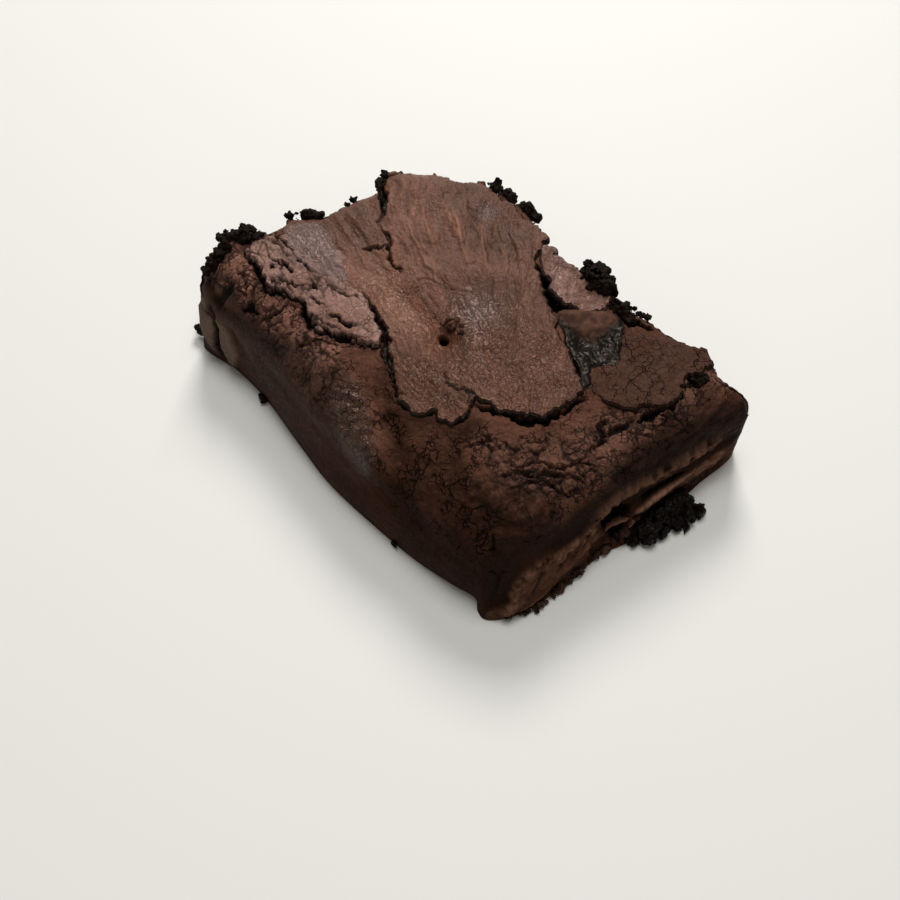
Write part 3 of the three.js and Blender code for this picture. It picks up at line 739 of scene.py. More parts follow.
patchy = 0.5 + 0.5 * layers(X, Y, Z, 6, 3, 0.6)
# Painted shade on the shoulder below the plates and the walls below it: strongest on the right, less low on
# the walls and in the crazed crust
shoulder_shade = 0.9 - 0.25 * smooth((470 - PX) / 40) - 0.3 * smooth((PY - 530) / 30)
shoulder_shade *= (1 - 0.25 * np.clip(rugged, 0, 1)) * (1 - craquelure * smooth((508 - PY) / 40))
# Painted shade: the hollow below the crease, the flap's groove, the crack at the corner, the torn hole and
# the step are painted near-black
hollow_shade = np.maximum.reduce([
    ridge["hollow"], ridge["flap_groove"], line["corner_crack"], zone["torn"], 0.2 * ridge["step"],
])
stripe_tint = between(linear(54, 35, 26), linear(98, 66, 52), 0.55 + 0.6 * striped + 0.4 * rugged)
colour = painted(linear(66, 42, 32), [
    (linear(104, 69, 55), 0.325 + 0.35 * patchy + 0.3 * craquelure * (0.6 + small_kind)),
    (between(BAKED, BAKED_DARK, patchy), tin),
    # Painted light: the band below the crease, partly its own colour and partly painted bounce light
    (BOUNCE_LIT_BAND, 0.9 * band),
    (between(linear(94, 63, 52), linear(146, 102, 85), 0.6 + 0.5 * big_kind), 0.85 * zone["left_lumps"]),
    (CUT, cut),
    # Painted shade: cracks darken the deeper they go, partly the fudge that shows in them and partly painted
    # shade; rim gaps and the pit are painted shade
    (FUDGE_AND_SHADE, cracks / 1.2),
    # The grooves of the crazed crust: dark crack lines, partly painted shade in them
    (FUDGE_AND_SHADE, 0.85 * craquelure * np.clip(1.8 * grooves, 0, 1)),
    # Painted shade in the torn hole of the right side
    (FUDGE_AND_SHADE, 0.9 * torn),
    (CRUST_DARK, cut * 0.25 * (cut_small_kind > 0.4)),
    # Painted shade on the shoulder and the walls below it
    (linear(38, 22, 14), shoulder_shade * zone["shaded_shoulder"]),
    (between(linear(28, 18, 13), linear(60, 41, 33), 0.4 + 0.6 * bark), 0.85 * zone["right_shoulder"]),
    (linear(24, 15, 11), 0.8 * zone["dark_wall"] * (0.75 - 0.35 * np.clip(bark, -1, 1))),
    (linear(26, 16, 11), 0.8 * zone["dark_row"] * np.clip(0.8 - 0.5 * rugged, 0, 1)),
    # Painted sheen: the upper left shoulder and, below, the sheen ridge are painted lighter
    (linear(60, 39, 30), 0.6 * zone["side_shoulder"]),
    (linear(30, 19, 14), 0.7 * zone["left_end"]),
    (linear(72, 50, 42), 0.7 * zone["sheen"]),
    # Painted shade down the upper part of the soft valley of the front shoulder
    (linear(36, 22, 15), 0.6 * ridge["valley"] * smooth((470 - PY) / 30)),
    (linear(36, 23, 17), 0.8 * zone["corner_face"]),
    # The crease ridge is painted lighter: partly its pale torn crust and partly a painted highlight where the
    # ridge catches the light
    (linear(112, 80, 63), 0.85 * np.clip(ridge["crease"] * (0.75 + 0.9 * rugged), 0, 1)),
    # The second fold is painted light brown: partly its paler crust and partly painted light that lifts it
    # out of the shade it lies in
    (linear(142, 104, 84), 0.9 * np.clip(ridge["second_fold"] * (0.9 + 0.6 * rugged), 0, 1)),
    (stripe_tint, 0.85 * zone["stripes"]),
    # The flap is painted pale grey-brown: partly its own paler crust and partly a painted highlight on its
    # satin face
    (linear(104, 87, 76), 0.85 * zone["flap"] * (1 - ridge["flap_groove"])),
    (linear(78, 58, 48), 0.6 * ridge["flap_top"]),
    # Painted shade in the hollows and grooves
    (FUDGE_AND_SHADE, hollow_shade * (1.1 + 0.3 * rugged)),
])
crazed = craquelure + 0.5 * zone["front_cracks"] + 0.6 * shoulder * (0.6 + layers(X, Y, Z, 5, 2))
crackle = np.clip(crazed, 0, 1)
rough = 0.6 - 0.02 * tin - 0.12 * cut + 0.06 * layers(X, Y, Z, 2, 2) - 0.28 * zone["sheen"]


def material(name, grain, bump, stretch=(0.5, 0.5, 0.5), folds=0.0, specular=0.3, crinkle=0.0, shine=0.0):
    """A finish that takes colour and roughness from the mesh. Noise gives its fine grain, in millimetres, its
    crinkles and its folds, which follow the mesh's own flow. Where the mesh says so, it is crazed."""
    m = bpy.data.materials.new(name)
    m.use_nodes = True
    nodes, links = m.node_tree.nodes, m.node_tree.links

    def fill(node, inputs):
        """Set a node's inputs to numbers, or link them to other nodes. Its outputs are returned."""
        for label, value in inputs.items():
            if isinstance(value, bpy.types.NodeSocket):
                links.new(value, node.inputs[label])
            else:
                node.inputs[label].default_value = value
        return node.outputs

    def attribute(label):
        node = nodes.new("ShaderNodeAttribute")
        node.attribute_name = label
        return node.outputs

    def maths(kind, a, b):
        node = nodes.new("ShaderNodeMath")
        node.operation = kind
        return fill(node, {0: a, 1: b})[0]

    def vectors(kind, inputs):
        node = nodes.new("ShaderNodeVectorMath")
        node.operation = kind
        return fill(node, inputs)[0]

    def noise_of(vector, scale, detail, roughness=0.6, twist=0.0, output="Fac"):
        inputs = {"Scale": scale, "Detail": detail, "Roughness": roughness, "Distortion": twist}
        return fill(nodes.new("ShaderNodeTexNoise"), inputs | {"Vector": vector})[output]

    def ramp_of(value, low, high, dark, light):
        inputs = {"Value": value, "From Min": low, "From Max": high, "To Min": dark, "To Max": light}
        return fill(nodes.new("ShaderNodeMapRange"), inputs)["Result"]

    place = nodes.new("ShaderNodeTexCoord").outputs["Object"]
    crackle = attribute("Crackle")["Fac"]
    wrinkled = attribute("Wrinkled")["Fac"]
    fine = noise_of(place, 1000 * grain, 4, 0.65)
    fold = noise_of(vectors("MULTIPLY", {0: attribute("Flow")["Vector"], 1: stretch}), 1, 3, 0.6)
    shift = vectors("MULTIPLY", {0: noise_of(place, 900, 1, 0.5, output="Color"), 1: (CRAZE_SHIFT,) * 3})
    warped = vectors("ADD", {0: place, 1: shift})

    def crack_web(scale, narrow, patches):
        """A net of cracks that is open in patches: the scale of both, and how narrow the cracks are."""
        web = nodes.new("ShaderNodeTexVoronoi")
        web.feature = "DISTANCE_TO_EDGE"
        near = maths("MULTIPLY", fill(web, {"Vector": warped, "Scale": scale})["Distance"], narrow)
        patchy = ramp_of(noise_of(place, patches, 1), 0.38, 0.62, -0.3, 1.0)
        return ramp_of(maths("SUBTRACT", maths("MULTIPLY", crackle, patchy), near), 0.0, 0.4, 0.0, 1.0)

    # Colour and gloss
    open_crack = maths("MAXIMUM", crack_web(760, 9.0, 330), crack_web(330, 13.0, 210))
    folded = ramp_of(fold, 0.3, 0.7, 1 - 0.5 * folds, 1 + 0.5 * folds)
    shade = maths("MULTIPLY", ramp_of(fine, 0.3, 0.7, 0.74, 1.26), folded)
    shade = maths("MULTIPLY", shade, maths("SUBTRACT", 1.0, maths("MULTIPLY", open_crack, 0.75)))
    gloss = maths("ADD", attribute("Finish")["Fac"], ramp_of(fine, 0.3, 0.7, 0.07, -0.07))

    # Bump
    pucker = noise_of(place, 1000 * grain / 2.6, 2, 0.55)
    worm = noise_of(place, 620, 1, 0.5, 2.0)
    worm_ridge = ramp_of(maths("ABSOLUTE", maths("SUBTRACT", worm, 0.5), 0.0), 0.0, 0.09, 1.0, 0.0)
    height = maths("ADD", maths("MULTIPLY", fine, 0.3), maths("MULTIPLY", fold, folds))
    height = maths("ADD", height, maths("MULTIPLY", pucker, 0.7))
    height = maths("SUBTRACT", height, maths("MULTIPLY", open_crack, 0.8))
    height = maths("ADD", height, maths("MULTIPLY", maths("MULTIPLY", worm_ridge, wrinkled), crinkle))
    bumps = fill(nodes.new("ShaderNodeBump"), {"Strength": bump, "Distance": BUMP_HEIGHT, "Height": height})

    fill(nodes["Principled BSDF"], {
        "Base Color": vectors("SCALE", {0: attribute("Tint")["Color"], "Scale": shade}),
        "Roughness": gloss,
        "Specular IOR Level": ramp_of(wrinkled, 0.0, 1.0, specular, specular + shine),
        "Specular Tint": (1.0, 0.8, 0.68, 1),
        "Normal": bumps["Normal"],
    })
    return m


# In metres: the height of the bump, and how far noise bends the fine net of cracks
BUMP_HEIGHT = 0.0006
CRAZE_SHIFT = 0.0011

crumb_finish = material("dense_crumb", 1.9, 0.9, (0.4, 0.4, 1.4), 0.2, 0.03, 0.6, 0.45)
crust_finish = material("papery_crust", 2.2, 0.9, (0.16, 1.1, 1.0), 0.6, 0.2, 0.8, 0.3)
fudge_finish = material("shiny_fudge", 0.9, 0.3, (0.5, 0.5, 0.5), 0.2, 0.1, 0.1)

# How far every piece stays inside the solid's box, in metres
INSET = 2e-5
piece_low, piece_high = np.array(cad_box[0]) + INSET, np.array(cad_box[1]) - INSET


def piece(
    name, points, faces, colour, rough, finish, flow=None, crackle=0.0, shading=None, wrinkled=0.1
):
    """A mesh in the part's frame, with its own colours, roughness, flow, crazing and wrinkles."""
    at = np.clip((np.asarray(points) - (*MIDDLE, 0)) / 1000, piece_low, piece_high)
    mesh = bpy.data.meshes.new(name)
    mesh.from_pydata(at.tolist(), [], faces)
    rgba = np.column_stack([np.clip(colour, 0, 1), np.ones(len(at))])
    mesh.color_attributes.new("Tint", "FLOAT_COLOR", "POINT").data.foreach_set("color", rgba.ravel())
    stream = np.asarray(points if flow is None else flow, float)
    mesh.attributes.new("Flow", "FLOAT_VECTOR", "POINT").data.foreach_set("vector", stream.ravel())
    fields = {"Finish": np.clip(rough, 0.05, 1), "Crackle": np.clip(crackle, 0, 1), "Wrinkled": wrinkled}
    for label, values in fields.items():
        data = mesh.attributes.new(label, "FLOAT", "POINT").data
        data.foreach_set("value", np.broadcast_to(values, len(at)).astype(float))
    mesh.shade_smooth()
    if shading is not None:
        mesh.normals_split_custom_set_from_vertices(shading.tolist())
    mesh.materials.append(finish)
    obj = bpy.data.objects.new(name, mesh)
    bpy.context.collection.objects.link(obj)
    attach(obj, "root")
    return obj


fine_normals = normals_of(points, all_faces)
body_wrinkles = np.clip(0.9 * zone["sheen"] + 0.2 * zone["side_shoulder"] + 0.3 * craquelure, 0, 1)


def body_piece(name, faces):
    """A piece of the body: only the points that these faces use, and the faces renumbered to them."""
    used, renamed = np.unique(faces, return_inverse=True)
    return piece(
        name, points[used], renamed.reshape(faces.shape).tolist(), colour[used], rough[used], crumb_finish,
        crackle=crackle[used], shading=fine_normals[used], wrinkled=body_wrinkles[used],
    )


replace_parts(body_piece("baked_sides", side_faces), "brownie")
body_piece("body_top", top_faces)
body_piece("cut_faces", cut_faces)
piece(
    "underside", points[ring_index[0]], [tuple(range(posts))[::-1]], np.tile(BAKED_DARK, (posts, 1)), 0.7,
    crumb_finish,
)

# The crust's fine folds fan out from this point
FAN_MIDDLE = (40, -20)

# The broken edge of a plate, ring by ring: how far down it is, as a share of the thickness, and how far back
# under the plate, in millimetres. The last ring is the plate's root, which stands in the crumb.
EDGE_RINGS = ((0.22, -0.05), (0.5, 0.1), (0.75, 0.45))
# How dark each ring of the broken edge is painted, from 0 to 1: painted shade under the plate's rim
EDGE_SHADE = (0.2, 0.6, 1.0, 1.0)
ROOT_DEPTH = 0.8
RIM_DROP = 0.22
RIM_WIDTH = 0.45


def ragged(outline, step, amount, seed):
    """A closed outline through the points, broken up as crisp crust breaks, and its directions outward."""
    line = np.vstack(curve(outline, True, 40))
    line = np.vstack([line, line[:1]])
    length = np.hypot(*np.diff(line, axis=0).T).sum()
    at = spaced(line, round(length / step))[:-1]
    along = np.roll(at, -1, 0) - np.roll(at, 1, 0)
    side = np.stack([along[:, 1], -along[:, 0]], 1) / np.hypot(*along.T)[:, None]
    x, y = at.T
    push = noise(x / 2.2, y / 2.2, 9) + 0.5 * noise(x, y, 3) + 0.5 * noise(1.9 * x, 1.9 * y, seed)
    return at + side * (amount * push)[:, None], side


def stream_of(x, y):
    """Coordinates along and across the crust's fine folds, which fan out from beyond the tip to the back."""
    bx = x + 1.6 * noise(x / 8, y / 8, 6) + 0.4 * noise(x / 2.5, y / 2.5, 7) - FAN_MIDDLE[0]
    by = y + 1.6 * noise(x / 8, y / 8, 16) + 0.4 * noise(x / 2.5, y / 2.5, 17) - FAN_MIDDLE[1]
    return np.hypot(bx, by), 45 * np.arctan2(by, -bx)


def crust_plate(
    name, outline, top, tint_of, finish, step, amount=0.5, thick=0.7, seed=0, under_cut=0.55,
    crazed=0.0, crazed_zone=None, wrinkles_of=None,
):
    """A thin plate of crust over a ragged outline. top(x, y, away) gives the height of its upper face, where
    away is the distance to the rim. tint_of(x, y, depth) gives its colour and roughness, where depth is 0 on
    that face and 1 under the rim; the tints darken the edge by it, as painted shade under the rim."""
    line, side = ragged(outline, step, amount, seed)
    rim = np.vstack([line, line[:1]])
    n = len(line)

    # A net of triangles over the outline
    low, high = line.min(0), line.max(0)
    gx, gy = np.meshgrid(np.arange(low[0], high[0], step), np.arange(low[1], high[1], step))
    gx = gx + 0.5 * step * (np.arange(gx.shape[0]) % 2)[:, None]
    grid = np.column_stack([gx.ravel(), gy.ravel()])
    grid = grid[inside(*grid.T, line)]
    grid = grid[reach(*grid.T, rim)[0] > 0.6 * step]
    flat = [Vector(p) for p in np.vstack([line, grid])]
    verts, _, triangles, _, _, _ = geometry.delaunay_2d_cdt(flat, [], [list(range(n))], 1, 1e-6)
    xy = np.array([tuple(p) for p in verts])
    triangles = np.array(triangles)
    a, b, c = (xy[triangles[:, k]] for k in range(3))
    area = (b[:, 0] - a[:, 0]) * (c[:, 1] - a[:, 1]) - (b[:, 1] - a[:, 1]) * (c[:, 0] - a[:, 0])
    faces = np.where((area > 0)[:, None], triangles, triangles[:, ::-1]).tolist()
    away, _ = reach(*xy.T, rim)
    upper = np.column_stack([xy, top(*xy.T, away) - RIM_DROP * np.clip(1 - away / RIM_WIDTH, 0, 1) ** 2])

    # The broken edge below the rim goes down and back under the plate
    all_points = [upper]
    above = np.arange(n)
    steps_down = [(share * thick, back) for share, back in EDGE_RINGS] + [(thick + ROOT_DEPTH, under_cut)]
    for level, (down, back) in enumerate(steps_down):
        jag = 0.1 * noise(line[:, 0] * 2.1, line[:, 1] * 2.1, down * 3)
        all_points.append(np.column_stack([line - side * (back + jag)[:, None], upper[:n, 2] - down]))
        ring = len(upper) + level * n + np.arange(n)
        faces += quads(looped(ring), looped(above)).tolist()
        above = ring
    pts = np.vstack(all_points)
    x, y, z = pts.T
    # The upper face is 0, and the edge's rings take the painted shade under the rim
    depth = np.concatenate([np.zeros(len(upper)), np.repeat(EDGE_SHADE, n)])
    colour, rough = tint_of(x, y, depth)
    flow = np.column_stack([*stream_of(x, y), z])
    crackle = crazed * (depth == 0)
    if crazed_zone is not None:
        crackle *= patch(x, y, crazed_zone, 3)
    wrinkled = 0.1 if wrinkles_of is None else wrinkles_of(x, y)
    return piece(name, pts, faces, colour, rough, finish, flow, crackle, wrinkled=wrinkled)


def wrinkles(x, y):
    """The crust's folds, and the fine ones between them."""
    along, across = stream_of(x, y)
    fold = noise(along / 7, across / 0.9, 2) + 0.6 * noise(along / 3.5, across / 0.45, 5)
    return fold, noise(along / 1.6, across / 0.5, 8)


# Zones, folds and shiny spots of the middle plate
TIP_ZONE = spots(26, [
    (398, 350), (430, 352), (470, 330), (520, 320), (560, 330), (580, 370), (576, 400), (540, 420),
    (500, 416), (470, 400), (462, 420), (430, 412), (405, 400),
])
LOBE = spots(25.5, [
    (400, 372), (424, 366), (446, 374), (464, 388), (468, 408), (452, 420), (430, 410), (408, 406),
])
FOLD = np.array(spots(26, [(389, 250), (396, 266), (406, 280), (417, 304), (431, 322), (441, 328)]))
STREAKS = [(height, np.array(spots(26, run))) for height, run in [
    (0.42, [(400, 192), (406, 214), (413, 236), (426, 262), (440, 284), (452, 300)]),
    (0.24, [(416, 186), (424, 212), (432, 240), (440, 262)]),
    (0.22, [(446, 190), (456, 222), (466, 252), (474, 280)]),
    (0.2, [(478, 200), (482, 232), (486, 262), (490, 290)]),
    (0.2, [(505, 226), (506, 252), (510, 282), (516, 306)]),
    (0.26, [(352, 262), (366, 280), (380, 300), (392, 322), (400, 344)]),
]]
STREAK_WIDTH = 0.42
UPPER_LEFT = spots(25.5, [
    (322, 222), (352, 205), (381, 194), (386, 222), (388, 246), (356, 252), (336, 244),
])
UPPER_RIGHT = spots(26, [
    (448, 176), (492, 184), (520, 208), (546, 234), (530, 262), (500, 246), (470, 214),
])
SHEEN_SPOT = spot(478, 312, 26)
UPPER_SPOT = spot(487, 212, 26)


def streaks(x, y):
    """Low, thin ridges along the folds, highest in their middle."""
    wx, wy = x + 0.4 * noise(x / 2, y / 2, 3), y + 0.4 * noise(x / 2, y / 2, 9)
    total = 0
    for height, run in STREAKS:
        away, share = reach(wx, wy, run)
        total = total + height * np.sin(math.pi * share) * np.exp(-((away / STREAK_WIDTH) ** 2))
    return total


def middle_wrinkles(x, y):
    """Where the middle plate is finely wrinkled: round its sheen, in the warm hollow and at the tip."""
    shiny = hill(x, y, *SHEEN_SPOT, 6, 6, 0.9) + hill(x, y, *UPPER_SPOT, 2.5, 2.5, 0.6)
    papery = 0.45 * patch(x, y, WARM_ZONE, 3) + 0.35 * patch(x, y, TIP_ZONE, 4)
    papery += 0.35 * patch(x, y, GREY_PATCH, 1.5)
    return np.clip(0.06 + shiny + papery + 0.12 * noise(x / 3, y / 3, 4), 0, 1)


# How far each plate stands above the crumb
MIDDLE_LIFT = 0.9
LEFT_LIFT = 1.1
FLAKE_LIFT = 0.8
POOL_LIFT = 0.3
WEDGE_LIFT = -0.8


def middle_top(x, y, away):
    fold, fine = wrinkles(x, y)
    calm = smooth((x - 4) / 14)
    curl = 0.35 * smooth(1 - away / 2.2) * smooth((x - 2) / 10) * smooth((8 - y) / 6)
    tucked = smooth((-4 - y - 0.35 * (x + 30)) / 6) * smooth((-10 - x) / 6)
    z = crumb_height(x, y) + MIDDLE_LIFT - 0.25 * tucked + curl + (0.16 - 0.07 * calm) * fold + 0.07 * fine
    z += 0.14 * layers(x, y, 0, 3.5, 3) + 0.05 * layers(x, y, 0, 0.9, 2)
    to_fold, _ = reach(x, y, FOLD)
    right_of = smooth((x - y * 0.2 - (FOLD[:, 0] - FOLD[:, 1] * 0.2).mean()) / 3 + 0.5)
    z += 0.5 * np.exp(-((to_fold / 2.0) ** 2)) * (1 - 2 * right_of)
    z += streaks(x, y)
    web, _, _ = cells(x + 0.5 * noise(x, y, 2), y + 0.5 * noise(x, y, 7), 0 * x, 1.5)
    z -= 0.07 * patch(x, y, TIP_ZONE, 4) * np.exp(-((web / 0.22) ** 2))
    z -= pit_depth(x, y) + hill(x, y, *PIT, 4, 4, 0.6)
    return z - 0.85 * crack_depth(x, y)


def middle_tint(x, y, depth):
    fold, fine = wrinkles(x, y)
    along, across = stream_of(x, y)
    blotch = layers(x, y, 0, 7, 3, 0.6)
    bands = noise(along / 18, across / 3, 3) + 0.5 * noise(along / 9, across / 1.3, 8)
    to_fold, _ = reach(x, y, FOLD)
    tint = painted(CRUST, [
        (CRUST_DARK, 0.36 + 0.3 * blotch + 0.45 * bands + 0.15 * layers(x, y, 0, 1.3, 2)),
        (CRUST_WARM, 0.2 * smooth((6 - x) / 20) + 0.3 * smooth(fold) * smooth((8 - x) / 12)),
        # The warm zone is painted lighter: partly its warmer crust and partly painted light on the slope that
        # faces the light
        (linear(130, 92, 76), 0.8 * patch(x, y, WARM_ZONE, 2.5)),
        # The low ridges are painted lighter by their height: partly their paler crust and partly a painted
        # highlight along them
        (linear(134, 98, 82), np.clip(1.6 * streaks(x, y), 0, 0.6)),
        (linear(112, 77, 63), 0.5 * patch(x, y, TIP_ZONE, 4)),
        (linear(84, 54, 42), 0.85 * patch(x, y, LOBE, 3)),
        (linear(120, 98, 94), 0.85 * patch(x, y, GREY_PATCH, 0.8)),
        (CRUST_DARK, 0.65 * patch(x, y, UPPER_LEFT, 2) + 0.6 * patch(x, y, UPPER_RIGHT, 4)),
        (linear(142, 122, 118), hill(x, y, *SHEEN_SPOT, 4, 4, 0.5)),
        (linear(142, 122, 118), hill(x, y, *UPPER_SPOT, 1.8, 1.8, 0.5)),
        (linear(104, 62, 42), 0.55 * np.exp(-((to_fold / 1.1) ** 2))),
        (linear(100, 60, 40), hill(x, y, *PIT, 4, 4, 0.7)),
        # Painted shade in the pit
        (FUDGE_AND_SHADE, pit_depth(x, y)),
        # The cracks are painted near-black by their depth: partly fudge and partly painted shade
        (FUDGE_AND_SHADE, crack_depth(x, y) / 0.9),
        # Painted shade under the rim
        (FUDGE_AND_SHADE, depth**0.7),
    ])
    return tint, 0.34 + 0.06 * fine + 0.07 * blotch + 0.2 * depth


def flakes(x, y):
    """Long broken flakes that lie along the left plate: the distance to the border of the large and of the
    small ones, a random value of each, where they are split, and where the plate narrows to a tongue."""
    lean = y + 0.3 * x
    edge, kind, _ = cells(x / 1.9 + 0.15 * noise(x, y, 2), lean + 0.15 * noise(x / 2, y / 2, 8), 0 * x, 2.3)
    small_edge, small_kind, _ = cells(x / 1.8, lean + 0.1 * noise(x, y, 6), 0 * x, 1.1)
    split = smooth(0.5 + 0.9 * noise(x / 3, y / 3, 5))
    return edge, small_edge, kind, small_kind, split, smooth((x + 17) / 3)


def left_top(x, y, away):
    edge, small_edge, kind, small_kind, split, tongue = flakes(x, y)
    grey = patch(x, y, GREY_PATCH, 1.5)
    broken = (1 - grey) * (0.55 + 0.45 * smooth((-22 - x) / 12)) * (1 - 0.75 * tongue)
    terraces = 0.2 * kind + 0.09 * small_kind - 0.5 * split * np.exp(-((edge / 0.16) ** 2))
    terraces -= 0.2 * split * np.exp(-((small_edge / 0.11) ** 2))
    grain = 0.05 * layers(x, y, 0, 1.6, 3)
    return crumb_height(x, y) + LEFT_LIFT + broken * terraces + grain - crack_depth(x, y)


def left_tint(x, y, depth):
    edge, small_edge, kind, _, split, tongue = flakes(x, y)
    grey = patch(x, y, GREY_PATCH, 1.2)
    tint = painted(linear(150, 118, 107), [
        (linear(118, 87, 76), 0.4 + 0.3 * layers(x, y, 0, 5, 3, 0.6) + 0.4 * kind),
        (linear(128, 104, 98), 0.9 * grey),
        (FUDGE_AND_SHADE, (1 - grey) * 0.8 * split * np.exp(-((edge / 0.15) ** 2)) * (1 - 0.8 * tongue)),
        (FUDGE_AND_SHADE, (1 - grey) * 0.5 * split * np.exp(-((small_edge / 0.1) ** 2)) * (1 - tongue)),
        # The cracks are painted near-black by their depth: partly fudge and partly painted shade
        (FUDGE_AND_SHADE, crack_depth(x, y) / 0.8),
        # Painted shade under the rim
        (FUDGE_AND_SHADE, depth**0.7),
    ])
    return tint, 0.55 - 0.08 * grey + 0.2 * depth


def right_top(x, y, away):
    lift = 0.55 + 0.45 * smooth((x - 30) / 8)
    return crumb_height(x, y) + lift + 0.16 * layers(x, y, 0, 2.2, 3, 0.6) - 0.8 * crack_depth(x, y)


def right_tint(x, y, depth):
    tint = painted(linear(72, 50, 41), [
        (CRUST_DARK, 0.5 + 0.4 * layers(x, y, 0, 5, 3, 0.6)),
        # The cracks are painted near-black by their depth: partly fudge and partly painted shade
        (FUDGE_AND_SHADE, crack_depth(x, y) / 0.9),
        # Painted shade under the rim
        (linear(30, 20, 15), depth),
    ])
    return tint, 0.62 + 0.2 * depth


def flake_top(x, y, away):
    curl = 0.6 * smooth(1 - away / 1.6) * smooth((y - 21) / 2) + 0.5 * smooth((3 - x) / 3)
    return crumb_height(x, y) + FLAKE_LIFT + curl + 0.25 * layers(x, y, 0, 2.4, 3, 0.6)


def flake_tint(x, y, depth):
    tint = between(linear(140, 108, 100), linear(100, 68, 56), 0.4 + 0.5 * layers(x, y, 0, 3, 3, 0.6))
    # Painted shade under the rim
    return mix(tint, FUDGE_AND_SHADE, depth**0.7), 0.36 + 0.3 * depth


crust_plate(
    "crust_middle", MIDDLE_PLATE, middle_top, middle_tint, crust_finish, 0.22, 0.65, seed=21,
    crazed=0.25, crazed_zone=TIP_ZONE, wrinkles_of=middle_wrinkles,
)
crust_plate("crust_left", LEFT_PLATE, left_top, left_tint, crumb_finish, 0.2, seed=22, crazed=0.3)
crust_plate(
    "crust_right", RIGHT_PLATE, right_top, right_tint, crumb_finish, 0.24, 0.7, seed=23, crazed=0.45
)
crust_plate(
    "crust_back_flake", BACK_FLAKE, flake_top, flake_tint, crust_finish, 0.24, seed=24,
    wrinkles_of=lambda x, y: 0.3 + 0.3 * noise(x / 2, y / 2),
)

# Shiny fudge shows in a pool at the right of the middle plate, and in a wedge with a drop at its left
POOL = spots(23.5, [
    (558, 318), (572, 313), (584, 311), (597, 312), (610, 315), (620, 320), (624, 334), (622, 350),
    (618, 364), (602, 367), (592, 370), (590, 388), (582, 391), (579, 374), (572, 356), (566, 342),
])
RED_LUMP = spots(23.5, [
    (558, 317), (573, 312), (584, 310), (597, 311), (610, 315), (617, 321), (610, 327), (603, 334),
    (592, 339), (581, 336), (574, 329), (566, 325),
])
WEDGE = spots(24, [
    (365, 297), (370, 306), (376, 318), (384, 328), (391, 336), (391, 344), (388, 352), (392, 362),
    (399, 378), (402, 388), (398, 388), (390, 372), (384, 358), (381, 350), (378, 342), (374, 328),
    (369, 314),
])
DROP = spot(385, 339, 24.6)
DROP_HEIGHT = 2.5


def pool_top(x, y, away):
    red = patch(x, y, RED_LUMP, 1.4)
    ripple = 0.3 * noise(x * 0.5, y * 0.5, 4) + 0.2 * abs(noise(x * 1.2, y * 1.2, 6))
    ripple += 0.08 * noise(x * 2.6, y * 2.6, 2)
    return crumb_height(x, y) + POOL_LIFT + (ripple * (1 - 0.7 * red) + 0.6 * red) * smooth(away / 1.2)


def pool_tint(x, y, depth):
    red = patch(x, y, RED_LUMP, 1.4)
    brown = between(linear(84, 55, 44), linear(56, 37, 30), 0.5 + layers(x, y, 0, 1.5, 2))
    # Painted shade under the rim
    return painted(linear(20, 17, 13), [(brown, 1.4 * red), (FUDGE_AND_SHADE, depth)]), 0.3 + 0.35 * red


def wedge_top(x, y, away):
    return crumb_height(x, y) + WEDGE_LIFT + 0.15 * noise(x, y) + hill(x, y, *DROP, 1, 1, DROP_HEIGHT)


def wedge_tint(x, y, depth):
    # Painted shade under the rim
    return mix(linear(20, 17, 15), FUDGE_AND_SHADE, depth), 0.28


crust_plate("fudge_pool", POOL, pool_top, pool_tint, fudge_finish, 0.22, 0.3, 0.6, 25, 0.2)
crust_plate("fudge_wedge", WEDGE, wedge_top, wedge_tint, fudge_finish, 0.2, 0.15, 0.6, 26, 0.1)


# Loose crumbs are small noisy balls
def crumbs(name, places, tint, gloss, finish, rough_by, subdivisions, grain):
    """One mesh of noisy balls: each place is x, y, z and a radius."""
    maker = bmesh.new()
    bmesh.ops.create_icosphere(maker, subdivisions=subdivisions, radius=1)
    ball = np.array([tuple(q.co) for q in maker.verts])
    ball_faces = np.array([[q.index for q in f.verts] for f in maker.faces])
    maker.free()
    pts, faces = [], []
    for i, (x, y, z, radius) in enumerate(places):
        n = layers(ball[:, 0] + 3 * i, ball[:, 1], ball[:, 2], 1.0, 3, 0.6)
        stretch = 1 + 0.25 * rng.uniform(-1, 1, 3)
        q = ball * (1 + rough_by * n)[:, None] * radius * stretch + (x, y, z)
        q += ball * grain * layers(*q.T, 0.9, 3, 0.7)[:, None]
        q[:, 2] = np.maximum(q[:, 2], 0)
        pts.append(q)
        faces.append(ball_faces + i * len(ball))
    pts = np.vstack(pts)
    shade = 0.5 + 0.5 * layers(*pts.T, 1.2, 2)
    colour = between(tint, FUDGE_AND_SHADE, shade)
    return piece(name, pts, np.vstack(faces).tolist(), colour, gloss + 0.08 * shade, finish)


def strewn(clusters):
    """Places for crumbs, scattered along each cluster's run of pixels."""
    found = []
    for z, spread, largest, count, run in clusters:
        line = spaced(np.array(spots(z, run)), 40)
        for _ in range(count):
            x, y = line[rng.integers(0, 41)] + rng.normal(0, spread * 0.5, 2)
            radius = largest * rng.uniform(0.35, 1) ** 1.4
            found.append((x, y, z + rng.normal(0, spread * 0.4), radius))
    return found


